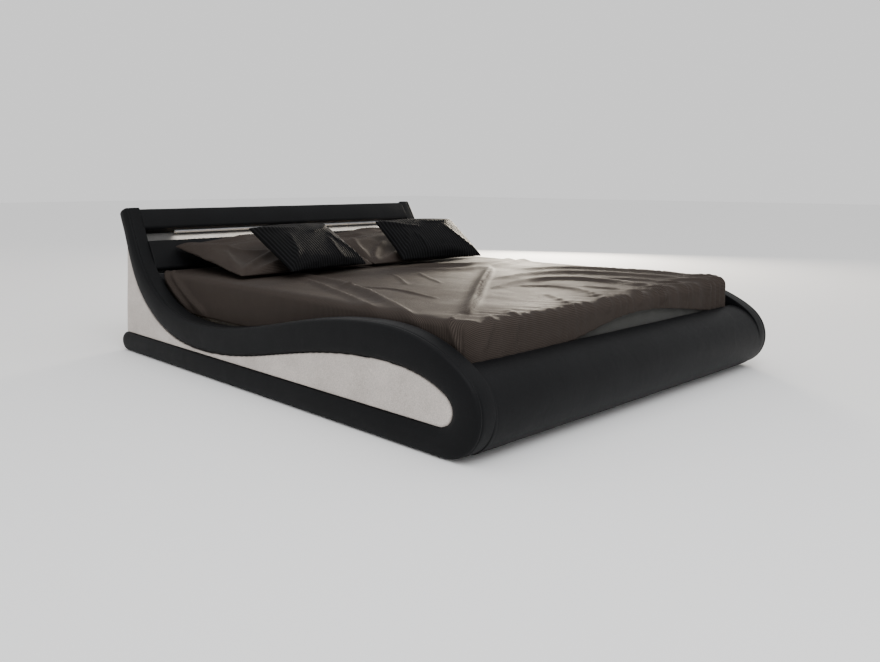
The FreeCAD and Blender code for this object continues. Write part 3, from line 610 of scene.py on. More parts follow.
# ---------------------------------------------------------------- side bands
def band_edges(hand, spacing, nose_radius):
    """Matching points along a band's outer and inner edges, from the cap to the runner's end."""
    sign = HANDS[hand]
    tree = ray_tree(f"side_surround_{hand}")
    low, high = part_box(f"side_surround_{hand}")
    core_low, core_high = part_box(f"side_core_{hand}")
    outer = sign * (max(abs(low.x), abs(high.x)) + max(abs(core_low.x), abs(core_high.x))) / 2.0
    nose = Vector((outer, low.y + nose_radius, low.z + nose_radius))
    cap = max((v.co for v in NODES[f"side_surround_{hand}"].data.vertices), key=lambda co: co.z)
    over = []
    place = cap.y - 0.001
    while place > nose.y:
        point, normal = tree.ray_cast(Vector((outer, place, 2.0)), Vector((0, 0, -1)))[:2]
        over.append(point)
        place -= spacing * max(abs(normal.z), 0.3)
    steps = round(math.pi * nose_radius / spacing)
    for step in range(steps + 1):
        turn = math.pi / 2 + math.pi * step / steps
        out = Vector((0, math.cos(turn), math.sin(turn)))
        over.append(struck(tree, nose + out, -out))
    end = struck(tree, Vector((outer, 2.0, low.z + 0.045)), Vector((0, -1, 0))).y
    radius = (struck(tree, nose - Vector((0, 0, 0.14)), Vector((0, 0, 1))).z - low.z) / 2.0
    runner = end - radius - nose.y
    count = round(runner / spacing)
    for step in range(1, count + 1):
        over.append(Vector((outer, nose.y + runner * step / count, low.z)))
    outer_edge = evened(over, 3)
    inner_edge = []
    for index, point in enumerate(outer_edge):
        before = outer_edge[max(index - 1, 0)]
        after = outer_edge[min(index + 1, len(outer_edge) - 1)]
        along = (after - before).normalized()
        inward = Vector((0, -along.z, along.y))
        inner_edge.append(struck(tree, point + inward * 0.006, inward))
    return outer_edge, relaxed(inner_edge, 4), radius


def band_section(width, thick, band):
    """A band's cross-section: how far in from its outer edge, how far out from its inner face."""
    tight = min(1.0, width / 0.07)
    seam = thick - band.seam
    crown = band.crown * tight
    rim = 0.016 * tight
    return [
        # inner edge and back
        (width, seam + 0.002), (width, 0.004), (width - 0.004 * tight, -0.001),
        (width * 0.5, -0.001), (0.003 * tight, -0.001), (0.0005 * tight, -0.0006),
        # outer edge up to the seam
        (0.0, 0.001), (-0.0006, 0.012), (-0.0008, 0.026), (-0.0006, 0.040), (0.0, seam - 0.006),
        # the seam and the rounded rim
        (band.groove * 0.4, seam - 0.002), (band.groove, seam), (band.groove * 0.3, seam + 0.002),
        (-0.0004, seam + 0.006), (0.0010, seam + 0.011), (rim * 0.35, thick - 0.0035), (rim, thick),
        # the crowned face
        (width * 0.32, thick + crown * 0.85), (width * 0.5, thick + crown),
        (width * 0.68, thick + crown * 0.85), (width - rim, thick + 0.001),
        (width - rim * 0.35, thick - 0.006), (width - 0.0006, thick - 0.013),
    ]


# how the padding closes at the cap: how far each cross-section stands out, and how full it is
CAP_STEPS = ((0.0095, 0.62), (0.0075, 0.82), (0.004, 0.93), (0.0, 0.985))


class BED_OT_side_bands(bpy.types.Operator):
    """Sews the black padded bands that run from the headboard round the nose to the runners"""

    bl_idname = "sleigh_bed.side_bands"
    bl_label = "Side bands"

    def execute(self, context):
        band = settings().band
        for hand, sign in HANDS.items():
            shape = self.band_shape(hand, sign, band)
            piece = make_piece(
                f"{hand}_side_band", shape, "band_leather", BED, [f"side_surround_{hand}"]
            )
            subdivide(piece, 2)
        return {"FINISHED"}

    def band_shape(self, hand, sign, band):
        """The band as one surface of cross-sections, with soft ends at the cap and the runner."""
        low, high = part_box(f"side_surround_{hand}")
        inner_face = min(abs(low.x), abs(high.x))
        thick = max(abs(low.x), abs(high.x)) - inner_face
        outer_edge, inner_edge, radius = band_edges(hand, band.spacing, band.nose_radius)
        stations = [(a, b, 1.0) for a, b in zip(outer_edge, inner_edge)]
        first, last = stations[0], stations[-1]
        stations = [
            *self.soft_end(first, stations[2], CAP_STEPS),
            *stations[1:],
            *reversed(self.soft_end(last, stations[-3], [
                (radius * math.sin(math.radians(step)), math.cos(math.radians(step)))
                for step in (86, 72, 56, 38, 20)
            ])),
        ]
        rings = []
        for outer, inner, fullness in stations:
            across = inner - outer
            width = across.length
            across.normalize()
            ring = []
            for inward, out in band_section(width, thick, band):
                inward = width / 2 + (inward - width / 2) * fullness
                side = thick / 2 + (out - thick / 2) * (0.55 + 0.45 * fullness)
                point = outer + across * inward
                point.x = sign * (inner_face + side)
                if out > thick:
                    point.x += sign * wander(point, 0.11, 0.0012)
                ring.append(point)
            rings.append(ring)
        return skin(rings)

    def soft_end(self, end, neighbour, steps):
        """Cross-sections that close an end: how far each stands out, and how full it is."""
        outward = ((end[0] + end[1]) - (neighbour[0] + neighbour[1])).normalized()
        return [
            (end[0] + outward * reach, end[1] + outward * reach, fullness)
            for reach, fullness in steps
        ]


class BED_OT_side_panels(bpy.types.Operator):
    """Pads the pale panels that fill the windows of the side bands"""

    bl_idname = "sleigh_bed.side_panels"
    bl_label = "Side panels"

    def execute(self, context):
        for hand, sign in HANDS.items():
            piece = make_piece(
                f"{hand}_side_panel", merged_copy(f"side_panel_{hand}"), "panel_leather", BED,
                [f"side_panel_{hand}"],
            )
            remesh(piece, 0.006)
            soften(piece, 6)
            low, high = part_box(f"side_panel_{hand}")
            face = max(abs(low.x), abs(high.x))
            for vertex in piece.data.vertices:
                if abs(vertex.co.x) > face - 0.004:
                    vertex.co.x += sign * wander(vertex.co, 0.16, 0.0016, 3.0)
        return {"FINISHED"}


def remesh(piece, voxel):
    """Rebuilds a piece's mesh as even cells and keeps its finish."""
    modifier = piece.modifiers.new("Remesh", "REMESH")
    modifier.mode = "VOXEL"
    modifier.voxel_size = voxel
    modifier.use_smooth_shade = True
    apply_modifiers(piece)


def apply_modifiers(piece):
    """Fixes a piece's modifiers into its mesh."""
    graph = bpy.context.evaluated_depsgraph_get()
    mesh = bpy.data.meshes.new_from_object(piece.evaluated_get(graph))
    old = piece.data
    finishes = list(old.materials)
    piece.modifiers.clear()
    piece.data = mesh
    mesh.materials.clear()
    for finish in finishes:
        mesh.materials.append(finish)
    mesh.name = piece.name
    bpy.data.meshes.remove(old)


def soften(piece, rounds):
    """Smooths a piece's points a little at a time."""
    shape = bmesh.new()
    shape.from_mesh(piece.data)
    for _ in range(rounds):
        bmesh.ops.smooth_vert(
            shape, verts=shape.verts, factor=0.5, use_axis_x=True, use_axis_y=True, use_axis_z=True
        )
    shape.to_mesh(piece.data)
    shape.free()


# ---------------------------------------------------------------- foot roll
class BED_OT_foot_roll(bpy.types.Operator):
    """Rolls the rounded padded foot between the two sides"""

    bl_idname = "sleigh_bed.foot_roll"
    bl_label = "Foot roll"

    def execute(self, context):
        foot = settings().foot
        low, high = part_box("foot_cover")
        axis = Vector((0.0, low.y + foot.radius, (low.z + high.z) / 2.0))
        # the roll's ends reach a little way into the sides, so that the joint is tight
        half = high.x + 0.004
        seam = half - foot.seam
        proud = 0.0008
        ends = [
            (half, -0.001), (half - 0.002, 0.0), (half - 0.006, 0.0006), (seam + 0.0025, proud),
            (seam, proud - foot.groove), (seam - 0.0025, proud), (seam - 0.02, proud),
        ]
        inside = seam - 0.05
        count = 40
        across = [(-x, lift) for x, lift in ends]
        across += [(-inside + 2 * inside * step / count, 0.0005) for step in range(count + 1)]
        across += reversed(ends)
        back = math.asin((high.y - axis.y) / foot.radius)
        rings = [
            self.ring(axis, x, foot.radius + lift, back, abs(x) < inside) for x, lift in across
        ]
        piece = make_piece("foot_roll", skin(rings), "band_leather", BED, ["foot_cover"])
        subdivide(piece, 1)
        return {"FINISHED"}

    def ring(self, axis, x, radius, back, uneven):
        """One cross-section of the roll: round in front, and flat where it meets the foot board."""
        start, sweep, steps = math.pi / 2 - back, math.pi + 2 * back, 48
        ring = []
        for step in range(steps + 1):
            turn = start + sweep * step / steps
            out = Vector((0, math.cos(turn), math.sin(turn)))
            point = Vector((x, axis.y, axis.z)) + out * radius
            if uneven:
                point += out * wander(point, 0.13, settings().foot.dent, 5.0)
            ring.append(point)
        low, high = ring[-1], ring[0]
        return ring + [low.lerp(high, part) for part in (0.01, 0.2, 0.4, 0.6, 0.8, 0.99)]


# ---------------------------------------------------------------- headboard
def bar_section(width, depth, corner, crown, back_corner=0.003):
    """A padded bar's cross-section as (down, back) points, rounded in front and crowned."""
    turns = [math.pi / 2 * step / 5 for step in range(6)]
    upper = [(corner * (1 - math.cos(turn)), corner * (1 - math.sin(turn))) for turn in turns]
    face = [
        (corner + (width - 2 * corner) * step / 6, -crown * math.sin(math.pi * step / 6))
        for step in range(1, 6)
    ]
    lower = [(width - down, back) for down, back in reversed(upper)]
    rear = [(width, depth - back_corner), (width - back_corner, depth)]
    rear += [(width * (4 - step) / 4, depth) for step in range(1, 4)]
    rear += [(back_corner, depth), (0.0, depth - back_corner)]
    return upper + face + lower + rear


def headboard_bar(name, node, corner, crown, seed):
    """A leaning padded bar in a node's place."""
    low, high = lean_extent(node)
    top, front = high[1], low[2]
    width, depth = high[1] - low[1], high[2] - low[2]
    section = bar_section(width, depth, corner, crown)
    half = high[0] + 0.002
    ends = [(half, 0.003), (half - 0.002, 0.0015), (half - 0.006, 0.0004), (half - 0.014, 0.0)]
    count = 60
    inside = half - 0.03
    across = [(-x, tuck) for x, tuck in ends]
    across += [(-inside + 2 * inside * step / count, 0.0) for step in range(count + 1)]
    across += list(reversed(ends))
    rings = []
    for x, tuck in across:
        ring = []
        for down, back in section:
            down = min(max(down, tuck), width - tuck)
            point = Vector((x, 0, 0)) + UP * (top - down) + BACK * (front + max(back, tuck - crown))
            if back < corner and abs(x) < inside:
                point += BACK * wander(point, 0.12, 0.0016, seed)
            ring.append(point)
        rings.append(ring)
    piece = make_piece(name, skin(rings), "band_leather", BED, [node])
    subdivide(piece, 2)
    return piece


class BED_OT_headboard(bpy.types.Operator):
    """Pads the headboard's leaning top rail and the panel under its lit slot"""

    bl_idname = "sleigh_bed.headboard"
    bl_label = "Headboard pads"

    def execute(self, context):
        head = settings().head
        headboard_bar("headboard_rail", "head_rail_cover", head.rail_corner, head.crown, 2.0)
        headboard_bar("headboard_pad", "head_lower_pad", head.pad_corner, head.crown, 9.0)
        return {"FINISHED"}


class BED_OT_frame_finishes(bpy.types.Operator):
    """Gives every part of the wooden frame, its fittings and its light a finish"""

    bl_idname = "sleigh_bed.frame_finishes"
    bl_label = "Frame finishes"

    def execute(self, context):
        for node, part in NODES.items():
            finish = finish_for(SLOT_OF[node])
            if not part.material_slots:
                raise RuntimeError(f"{node} has no material slot")
            for holder in part.material_slots:
                holder.link = "OBJECT"
                holder.material = finish
        return {"FINISHED"}


# ---------------------------------------------------------------- mattress and cover
def rounded_block(low, high, corner, edge, rims):
    """A closed block with rounded upright corners, and rounded rims at the given heights."""
    shape = bmesh.new()
    bmesh.ops.create_cube(shape, size=1.0)
    bmesh.ops.scale(shape, verts=shape.verts, vec=high - low)
    bmesh.ops.translate(shape, verts=shape.verts, vec=(low + high) / 2.0)
    upright = [e for e in shape.edges if abs(e.verts[0].co.z - e.verts[1].co.z) > 0.01]
    bmesh.ops.bevel(
        shape, geom=upright, offset=corner, segments=6, profile=0.5, affect="EDGES", material=-1
    )
    flat = [
        e for e in shape.edges
        if any(all(abs(v.co.z - rim) < 1e-4 for v in e.verts) for rim in rims)
    ]
    bmesh.ops.bevel(
        shape, geom=flat, offset=edge, segments=5, profile=0.5, affect="EDGES", material=-1
    )
    return shape


class BED_OT_mattress(bpy.types.Operator):
    """Makes the mattress with its rounded border and edges"""

    bl_idname = "sleigh_bed.mattress"
    bl_label = "Mattress"

    def execute(self, context):
        cover = settings().cover
        low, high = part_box("mattress")
        inset = Vector((0.001, 0.001, 0.001))
        low, high = low + inset, high - inset
        shape = rounded_block(low, high, cover.corner, cover.edge, (low.z, high.z))
        piece = make_piece("mattress_body", shape, "mattress_cloth", "mattress_set", ["mattress"])
        remesh(piece, 0.02)
        soften(piece, 2)
        return {"FINISHED"}


# folds of the fitted cover: the path over the mattress (x, y), its height, and its width
FOLDS = (
    (
        (
            (-0.47, 0.45), (-0.51, 0.10), (-0.59, -0.15), (-0.69, -0.40), (-0.80, -0.62),
            (-0.93, -0.86),
        ),
        0.012, 0.026,
    ),
    (((-0.55, 0.24), (-0.62, 0.08), (-0.71, -0.15), (-0.79, -0.38), (-0.90, -0.62)), 0.009, 0.022),
    (((-0.60, -0.10), (-0.52, -0.27), (-0.53, -0.44), (-0.56, -0.60)), 0.006, 0.014),
    (((-0.12, 0.11), (-0.22, -0.05), (-0.36, -0.24)), 0.005, 0.010),
    (((-0.02, 0.02), (-0.12, -0.14), (-0.22, -0.31)), 0.005, 0.010),
    (((0.40, -0.08), (0.06, -0.33), (-0.20, -0.52), (-0.50, -0.75), (-0.74, -0.92)), 0.020, 0.026),
    (
        ((0.10, -0.36), (0.34, -0.37), (0.54, -0.44), (0.64, -0.62), (0.68, -0.85), (0.70, -1.10)),
        0.013, 0.032,
    ),
    (
        ((-0.16, -0.56), (0.10, -0.50), (0.30, -0.55), (0.38, -0.72), (0.36, -0.92), (0.30, -1.12)),
        0.012, 0.028,
    ),
    (((-0.04, -0.60), (0.06, -0.70), (0.02, -0.88), (-0.08, -1.02), (-0.12, -1.12)), 0.008, 0.020),
    (((-0.16, -0.82), (-0.25, -0.95), (-0.34, -1.08)), 0.006, 0.014),
    (
        ((0.02, 0.22), (0.11, 0.05), (0.30, -0.04), (0.56, -0.01), (0.80, 0.06), (0.95, 0.10)),
        0.012, 0.034,
    ),
    (((0.22, 0.30), (0.44, 0.14), (0.66, 0.12), (0.92, 0.20)), 0.009, 0.030),
    (((0.50, -0.20), (0.70, -0.30), (0.82, -0.52), (0.86, -0.80), (0.86, -1.08)), 0.011, 0.028),
    (((0.42, -0.62), (0.50, -0.80), (0.52, -1.00), (0.50, -1.12)), 0.009, 0.020),
    (((0.16, -0.78), (0.18, -0.95), (0.12, -1.12)), 0.007, 0.016),
    (((-0.88, 0.93), (-0.97, 0.80), (-1.05, 0.66)), 0.015, 0.024),
    (((-0.86, 0.88), (-0.98, 0.70), (-1.06, 0.52)), 0.012, 0.022),
    (((-0.60, -0.98), (-0.66, -1.07), (-0.68, -1.16)), 0.005, 0.016),
    (((-0.72, -0.99), (-0.80, -1.08), (-0.83, -1.16)), 0.006, 0.016),
    (((-0.80, -0.93), (-0.93, -1.00), (-1.00, -1.03)), 0.007, 0.013),
)


def smooth_path(points, rounds=4):
    """A path with its corners cut off round by round."""
    path = [Vector((*point, 0.0)) for point in points]
    for _ in range(rounds):
        cut = [path[0]]
        for before, after in zip(path, path[1:]):
            cut += [before.lerp(after, 0.25), before.lerp(after, 0.75)]
        path = [*cut, path[-1]]
    return path


class Fold:
    """One fold of the cover, which stands steeper on one side than on the other."""

    def __init__(self, points, height, width):
        self.path = smooth_path(points)
        self.height = height
        self.width = width
        self.tree = KDTree(len(self.path))
        for index, point in enumerate(self.path):
            self.tree.insert(point, index)
        self.tree.balance()

    def lift(self, u, v):
        """The fold's height at a place on the flat cloth."""
        place = Vector((u, v, 0.0))
        near, index, distance = self.tree.find(place)
        if distance > self.width * 4.0:
            return 0.0
        before = self.path[max(index - 1, 0)]
        after = self.path[min(index + 1, len(self.path) - 1)]
        steep = (after - before).cross(place - near).z > 0
        reach = self.width * (0.48 if steep else 1.20)
        along = index / (len(self.path) - 1)
        taper = math.sin(math.pi * min(1.0, max(0.0, 0.04 + 0.92 * along))) ** 0.6
        return self.height * taper * math.exp(-((distance / reach) ** 2))


class BED_OT_cover(bpy.types.Operator):
    """Stretches the ribbed cover over the mattress, with its folds and its raised foot hem"""

    bl_idname = "sleigh_bed.cover"
    bl_label = "Fitted cover"

    def execute(self, context):
        cover = settings().cover
        low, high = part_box("mattress_cover")
        # the cover's rounded edges lie this much outside the mattress's own
        gap = 0.003
        corner, edge = cover.corner + gap, cover.edge + gap
        shape = rounded_block(low, high, corner, edge, (high.z,))
        piece = make_piece("fitted_cover", shape, "bed_cloth", "mattress_set", ["mattress_cover"])
        remesh(piece, cover.cell)
        self.open_and_fold(piece, low, high)
        modifier = piece.modifiers.new("Cloth thickness", "SOLIDIFY")
        modifier.thickness = cover.thickness
        modifier.offset = -1.0
        return {"FINISHED"}

    def open_and_fold(self, piece, low, high):
        """Cuts the underside away, lays out the cloth's own coordinates and raises the folds."""
        shape = bmesh.new()
        shape.from_mesh(piece.data)
        for vertex in shape.verts:
            vertex.co.z = max(vertex.co.z, low.z)
        under = [v for v in shape.verts if v.co.z < low.z + 0.006]
        bmesh.ops.delete(shape, geom=under, context="VERTS")
        sheet = shape.loops.layers.uv.new("Cloth")
        for face in shape.faces:
            for loop in face.loops:
                loop[sheet].uv = self.unfolded(loop.vert.co, low, high)
        folds = [Fold(*fold) for fold in FOLDS]
        for vertex in shape.verts:
            vertex.normal_update()
        moves = [self.stand_off(v.co, v.normal, low, high, folds) for v in shape.verts]
        for vertex, move in zip(shape.verts, moves):
            vertex.co += move
        shape.to_mesh(piece.data)
        shape.free()
        piece.data.shade_smooth()

    def unfolded(self, place, low, high):
        """A point's place on the cloth laid flat."""
        drop = max(0.0, high.z - place.z)
        u, v = place.x, place.y
        if place.x < low.x + 0.03:
            u -= drop
        elif place.x > high.x - 0.03:
            u += drop
        if place.y < low.y + 0.03:
            v -= drop
        elif place.y > high.y - 0.03:
            v += drop
        return u, v

    def stand_off(self, place, normal, low, high, folds):
        """How far the cloth stands off the mattress, and how far its foot hem has ridden up."""
        cover = settings().cover
        u, v = self.unfolded(place, low, high)
        lift = 0.0008 + abs(wander(place, 0.30, 0.004, 1.0)) + abs(wander(place, 0.10, 0.0014, 4.0))
        lift += sum(fold.lift(u, v) for fold in folds) + self.gathers(place, low)
        move = normal * lift * cover.folds
        if place.y > high.y - 0.06:
            move.y = min(move.y, 0.0) - 0.0012
        if place.y < low.y + 0.03:
            hem = self.foot_hem(place.x)
            share_up = (high.z - place.z) / (high.z - low.z)
            move.z += max(0.0, hem - low.z) * share_up ** 1.5
            move.y -= 0.006 * share_up * min(1.0, max(0.0, hem - 0.27) / 0.05)
        return move

    def foot_hem(self, x):
        """The height of the hem along the foot, where the cover has ridden up off its corner."""
        cover = settings().cover
        peak, right_reach, left_reach = 0.10, 0.85, 0.65
        away = abs(x - peak) / (right_reach if x > peak else left_reach)
        rise = math.cos(min(1.0, away) * math.pi / 2) ** 2
        return cover.hem + (cover.raised_hem - cover.hem) * rise

    def gathers(self, place, low):
        """The small gathers that run up from the foot hem over the mattress's edge."""
        inland = max(0.0, place.y - low.y)
        fade = math.exp(-((inland / 0.13) ** 2))
        if fade < 0.02:
            return 0.0
        pull = 0.35 + 0.65 * min(1.0, max(0.0, (place.x + 0.35) / 0.5))
        slant = place.x + 0.45 * inland
        phase = slant / settings().cover.gather_pitch
        phase += 1.1 * noise.noise(Vector((slant * 6.0, 0.3, 0.0)))
        ridge = (0.5 + 0.5 * math.sin(math.tau * phase)) ** 2
        uneven = 0.5 + 0.8 * abs(noise.noise(Vector((place.x * 5.0, 7.0, 0.0))))
        return settings().cover.gather * fade * pull * ridge * uneven


# ---------------------------------------------------------------- pillows and cushions
# folds of a pillow's case and a cushion's case, as the cover's are, from the middle of the case
PILLOW_FOLDS = (
    (((-0.41, 0.32), (-0.27, 0.23), (-0.10, 0.21), (0.06, 0.24)), 0.013, 0.022),
    (((-0.41, 0.31), (-0.29, 0.15), (-0.14, 0.08), (0.02, 0.08)), 0.015, 0.022),
    (((-0.40, 0.28), (-0.34, 0.08), (-0.25, -0.04), (-0.12, -0.10)), 0.014, 0.020),
    (((-0.40, -0.31), (-0.27, -0.18), (-0.10, -0.13), (0.05, -0.16)), 0.014, 0.020),
    (((-0.40, -0.29), (-0.36, -0.12), (-0.29, 0.02)), 0.011, 0.016),
    (((-0.34, -0.32), (-0.18, -0.25), (0.02, -0.25), (0.16, -0.28)), 0.010, 0.018),
    (((0.41, 0.32), (0.27, 0.20), (0.10, 0.15)), 0.013, 0.020),
    (((0.41, 0.30), (0.33, 0.12), (0.20, 0.02)), 0.012, 0.018),
    (((0.40, -0.31), (0.28, -0.16), (0.14, -0.08)), 0.014, 0.020),
    (((0.40, -0.29), (0.35, -0.10), (0.28, 0.04)), 0.010, 0.016),
    (((0.33, -0.32), (0.20, -0.24), (0.04, -0.20)), 0.009, 0.016),
)
CUSHION_FOLDS = (
    (((-0.25, -0.18), (-0.16, -0.08), (-0.12, 0.05)), 0.008, 0.018),
    (((-0.25, 0.17), (-0.15, 0.10), (-0.02, 0.10)), 0.007, 0.018),
    (((0.25, -0.18), (0.17, -0.08), (0.14, 0.04)), 0.009, 0.018),
    (((0.25, 0.18), (0.16, 0.08), (0.04, 0.05)), 0.007, 0.016),
    (((0.10, -0.19), (0.08, -0.09), (0.11, 0.00)), 0.007, 0.016),
)


SEAM_EDGE = 0.006
FILLING_FRAMES = 24


def filled_case(name, sizes, slot_name):
    """A case of two cloths sewn at the edge and blown up by its filling, flat at the origin."""
    width, depth = sizes.width, sizes.depth
    shape = bmesh.new()
    bmesh.ops.create_cube(shape, size=1.0)
    bmesh.ops.scale(shape, verts=shape.verts, vec=(width, depth, SEAM_EDGE))
    for axis, side in enumerate((width, depth)):
        cuts = round(side / sizes.cell)
        edges = [
            e for e in shape.edges
            if abs(e.verts[0].co[axis] - e.verts[1].co[axis]) > 0.5 * side
        ]
        bmesh.ops.subdivide_edges(shape, edges=edges, cuts=cuts - 1, use_grid_fill=True)
    sheet = shape.loops.layers.uv.new("Cloth")
    for face in shape.faces:
        for loop in face.loops:
            loop[sheet].uv = loop.vert.co.xy
    bmesh.ops.recalc_face_normals(shape, faces=shape.faces)
    mesh = bpy.data.meshes.new(name)
    shape.to_mesh(mesh)
    shape.free()
    mesh.shade_smooth()
    mesh.materials.append(finish_for(slot_name))
    piece = bpy.data.objects.new(name, mesh)
    bpy.context.scene.collection.objects.link(piece)
    for vertex in mesh.vertices:
        edge = min(width / 2 - abs(vertex.co.x), depth / 2 - abs(vertex.co.y))
        rise = min(1.0, edge / (0.35 * depth))
        plump = 0.035 * math.sin(rise * math.pi / 2) + wander(vertex.co, 0.07, 0.002, len(name))
        vertex.co.z += math.copysign(max(plump, 0.0) * min(1.0, edge / 0.02), vertex.co.z)
    cloth = piece.modifiers.new("Cloth", "CLOTH")
    cloth.settings.quality = 4
    cloth.settings.mass = 0.25
    cloth.settings.tension_stiffness = 12.0
    cloth.settings.compression_stiffness = 12.0
    cloth.settings.shear_stiffness = 4.0
    cloth.settings.bending_stiffness = 0.4
    cloth.settings.use_pressure = True
    cloth.settings.uniform_pressure_force = sizes.pressure
    cloth.settings.shrink_min = -sizes.slack
    cloth.settings.effector_weights.gravity = 0.0
    cloth.point_cache.frame_start = 1
    cloth.point_cache.frame_end = FILLING_FRAMES + 2
    scene = bpy.context.scene
    for step in range(1, FILLING_FRAMES + 1):
        scene.frame_set(step)
    apply_modifiers(piece)
    scene.frame_set(1)
    soften(piece, 4)
    return piece


def settle(piece, node, turn, folds, sign):
    """Fits a filled case into a CAD node's own extent, raises its folds and puts it in place."""
    folds = [
        Fold([(sign * x, y) for x, y in points], height, width) for points, height, width in folds
    ]
    inverse = turn.transposed()
    rows = [inverse @ v.co for v in NODES[node].data.vertices]
    low = Vector([min(row[axis] for row in rows) for axis in range(3)])
    high = Vector([max(row[axis] for row in rows) for axis in range(3)])
    side = [row.z for row in rows if row.x < low.x + 0.01]
    rim = sum(side) / len(side)
    middle = Vector(((low.x + high.x) / 2, (low.y + high.y) / 2, rim))
    points = [v.co.copy() for v in piece.data.vertices]
    reach = [max(abs(p[axis]) for p in points) for axis in range(2)]
    top = max(p.z for p in points)
    bottom = -min(p.z for p in points)
    for vertex in piece.data.vertices:
        x = vertex.co.x * (high.x - low.x) / 2 / reach[0]
        y = vertex.co.y * (high.y - low.y) / 2 / reach[1]
        z = vertex.co.z * ((high.z - rim) / top if vertex.co.z > 0 else (rim - low.z) / bottom)
        if vertex.co.z > 0:
            edge = min((high.x - low.x) / 2 - abs(x), (high.y - low.y) / 2 - abs(y))
            z += sum(fold.lift(x, y) for fold in folds) * min(1.0, max(0.0, edge) / 0.04)
        vertex.co = turn @ (middle + Vector((x, y, z)))
    piece.data.update()


class BED_OT_pillows(bpy.types.Operator):
    """Fills the two pillows and lays them against the headboard"""

    bl_idname = "sleigh_bed.pillows"
    bl_label = "Pillows"

    def execute(self, context):
        pillow = settings().pillow
        for hand in HANDS:
            piece = filled_case(f"{hand}_pillow_case", pillow, "bed_cloth")
            lean = Matrix.Rotation(pillow.lean, 3, "X")
            settle(piece, f"pillow_{hand}", lean, PILLOW_FOLDS, -HANDS[hand])
            rest(piece, f"{hand}_pillow", f"pillow_{hand}")
        return {"FINISHED"}


class BED_OT_cushions(bpy.types.Operator):
    """Fills the two ribbed cushions and leans them on the pillows"""

    bl_idname = "sleigh_bed.cushions"
    bl_label = "Cushions"

    def execute(self, context):
        cushion = settings().cushion
        for hand, turn in (("left", cushion.left_turn), ("right", cushion.right_turn)):
            piece = filled_case(f"{hand}_cushion_case", cushion, "cushion_cloth")
            lean = Matrix.Rotation(turn, 3, "Z") @ Matrix.Rotation(cushion.lean, 3, "X")
            settle(piece, f"cushion_{hand}", lean, CUSHION_FOLDS, -HANDS[hand])
            rest(piece, f"{hand}_cushion", f"cushion_{hand}")
        return {"FINISHED"}


def rest(piece, body, node):
    """Lets a filled case ride on its body, hides its CAD node and smooths it."""
    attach(piece, body)
    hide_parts(node)
    subdivide(piece, 1)


# ---------------------------------------------------------------- stage
# the camera's place: left of the bed's middle, in front of its foot and up, and its turn and lens
CAMERA_LEFT = -2.8356
CAMERA_BEFORE_FOOT = 1.549
CAMERA_HEIGHT = 0.8545
CAMERA_TURN = -41.73
LENS = 33.25
LENS_SHIFT = (0.0852, -0.1708)
WARM = (1.0, 0.90, 0.76)
GOLDEN = (1.0, 0.90, 0.74)
COOL = (0.97, 0.98, 1.0)


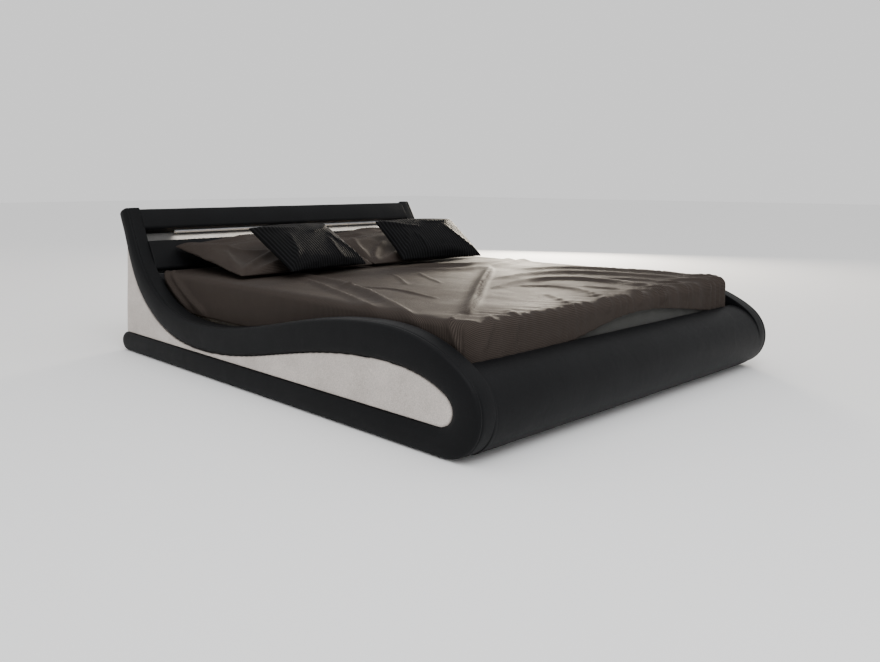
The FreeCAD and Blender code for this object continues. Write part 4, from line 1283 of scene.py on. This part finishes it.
class BED_OT_stage(bpy.types.Operator):
    """Sets the pale floor, the soft studio lights and the camera"""

    bl_idname = "sleigh_bed.stage"
    bl_label = "Stage"

    def execute(self, context):
        stage = settings().stage
        shape = bmesh.new()
        bmesh.ops.create_grid(shape, x_segments=1, y_segments=1, size=stage.floor / 2)
        mesh = bpy.data.meshes.new("studio_floor")
        shape.to_mesh(mesh)
        shape.free()
        floor = bpy.data.objects.new("studio_floor", mesh)
        context.scene.collection.objects.link(floor)
        pale = Finish("pale floor", Roughness=0.9, Base_Color=(0.9, 0.9, 0.9))
        pale.dull(pale.noise(pale.object, 3.0), 0.85, 0.95)
        mesh.materials.append(pale.material)
        world = bpy.data.worlds.new("studio")
        world.use_nodes = True
        sky = world.node_tree.nodes["Background"]
        sky.inputs["Color"].default_value = (1.0, 1.0, 1.0, 1.0)
        sky.inputs["Strength"].default_value = stage.sky
        context.scene.world = world
        self.lamp("sun window", (5.2, 3.0, 1.35), (0.5, 0.1, 0.4), 1.4, stage.sun, WARM)
        self.lamp("soft fill", (-2.2, -3.2, 4.2), (0.0, -0.2, 0.3), 3.0, stage.fill, COOL)
        self.lamp(
            "window glint", (2.6, 1.3, 1.15), (0.76, 0.32, 0.42), 0.35, stage.glint, GOLDEN, spread=42
        )
        self.slot_light()
        self.camera(context)
        return {"FINISHED"}

    def slot_light(self):
        """The light that each half of the strip throws down the back of the headboard's slot."""
        head = settings().head
        for hand in HANDS:
            low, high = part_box(f"led_diffuser_{hand}")
            data = bpy.data.lights.new(f"{hand} slot light", "AREA")
            data.shape = "RECTANGLE"
            data.size = high.x - low.x
            data.size_y = 0.008
            data.energy = head.light
            data.color = head.glow
            data.spread = math.radians(130)
            lamp = bpy.data.objects.new(f"{hand} slot light", data)
            lamp.location = (low + high) / 2.0 - UP * 0.006
            lamp.rotation_euler = (BACK * 0.5 - UP).to_track_quat("-Z", "Y").to_euler()
            lamp.visible_camera = False
            bpy.context.scene.collection.objects.link(lamp)

    def lamp(self, name, place, target, size, power, tint, spread=180):
        """A square soft light that faces a target, its beam as wide as the spread in degrees."""
        data = bpy.data.lights.new(name, "AREA")
        data.shape = "SQUARE"
        data.size = size
        data.energy = power
        data.color = tint
        data.spread = math.radians(spread)
        lamp = bpy.data.objects.new(name, data)
        lamp.location = place
        lamp.rotation_euler = (Vector(target) - Vector(place)).to_track_quat("-Z", "Y").to_euler()
        bpy.context.scene.collection.objects.link(lamp)

    def camera(self, context):
        """A level camera that looks across the foot's left corner."""
        data = bpy.data.cameras.new("studio camera")
        data.lens = LENS
        data.sensor_width = 36.0
        data.shift_x, data.shift_y = LENS_SHIFT
        data.clip_end = 200.0
        camera = bpy.data.objects.new("studio camera", data)
        camera.location = (CAMERA_LEFT, CAD_BOX[0].y - CAMERA_BEFORE_FOOT, CAMERA_HEIGHT)
        camera.rotation_euler = (math.radians(90), 0, math.radians(CAMERA_TURN))
        context.scene.collection.objects.link(camera)
        context.scene.camera = camera


OPERATORS = (
    BED_OT_frame_finishes,
    BED_OT_side_bands,
    BED_OT_side_panels,
    BED_OT_foot_roll,
    BED_OT_headboard,
    BED_OT_mattress,
    BED_OT_cover,
    BED_OT_pillows,
    BED_OT_cushions,
    BED_OT_stage,
)


class BED_PT_panel(bpy.types.Panel):
    """Lists the pieces of the bed and their settings"""

    bl_idname = "BED_PT_panel"
    bl_label = "Sleigh bed"
    bl_space_type = "VIEW_3D"
    bl_region_type = "UI"
    bl_category = "Sleigh Bed"

    def draw(self, context):
        for operator in OPERATORS:
            self.layout.operator(operator.bl_idname, text=operator.bl_label)
        for name in BedSettings.__annotations__:
            group = getattr(context.scene.sleigh_bed, name)
            box = self.layout.box()
            box.label(text=name.capitalize())
            for key in group.__annotations__:
                box.prop(group, key)


CLASSES = (
    LeatherSettings, BandSettings, FootSettings, HeadSettings, CoverSettings, PillowSettings,
    CushionSettings, StageSettings, BedSettings, *OPERATORS, BED_PT_panel,
)


def register():
    """Adds the classes and the scene's settings."""
    for item in CLASSES:
        bpy.utils.register_class(item)
    bpy.types.Scene.sleigh_bed = PointerProperty(type=BedSettings)


def unregister():
    """Takes the settings and the classes away again."""
    del bpy.types.Scene.sleigh_bed
    for item in reversed(CLASSES):
        bpy.utils.unregister_class(item)


def main():
    """Builds the whole bed."""
    register()
    for operator in OPERATORS:
        group, name = operator.bl_idname.split(".")
        getattr(getattr(bpy.ops, group), name)()


if __name__ == "__main__":
    main()
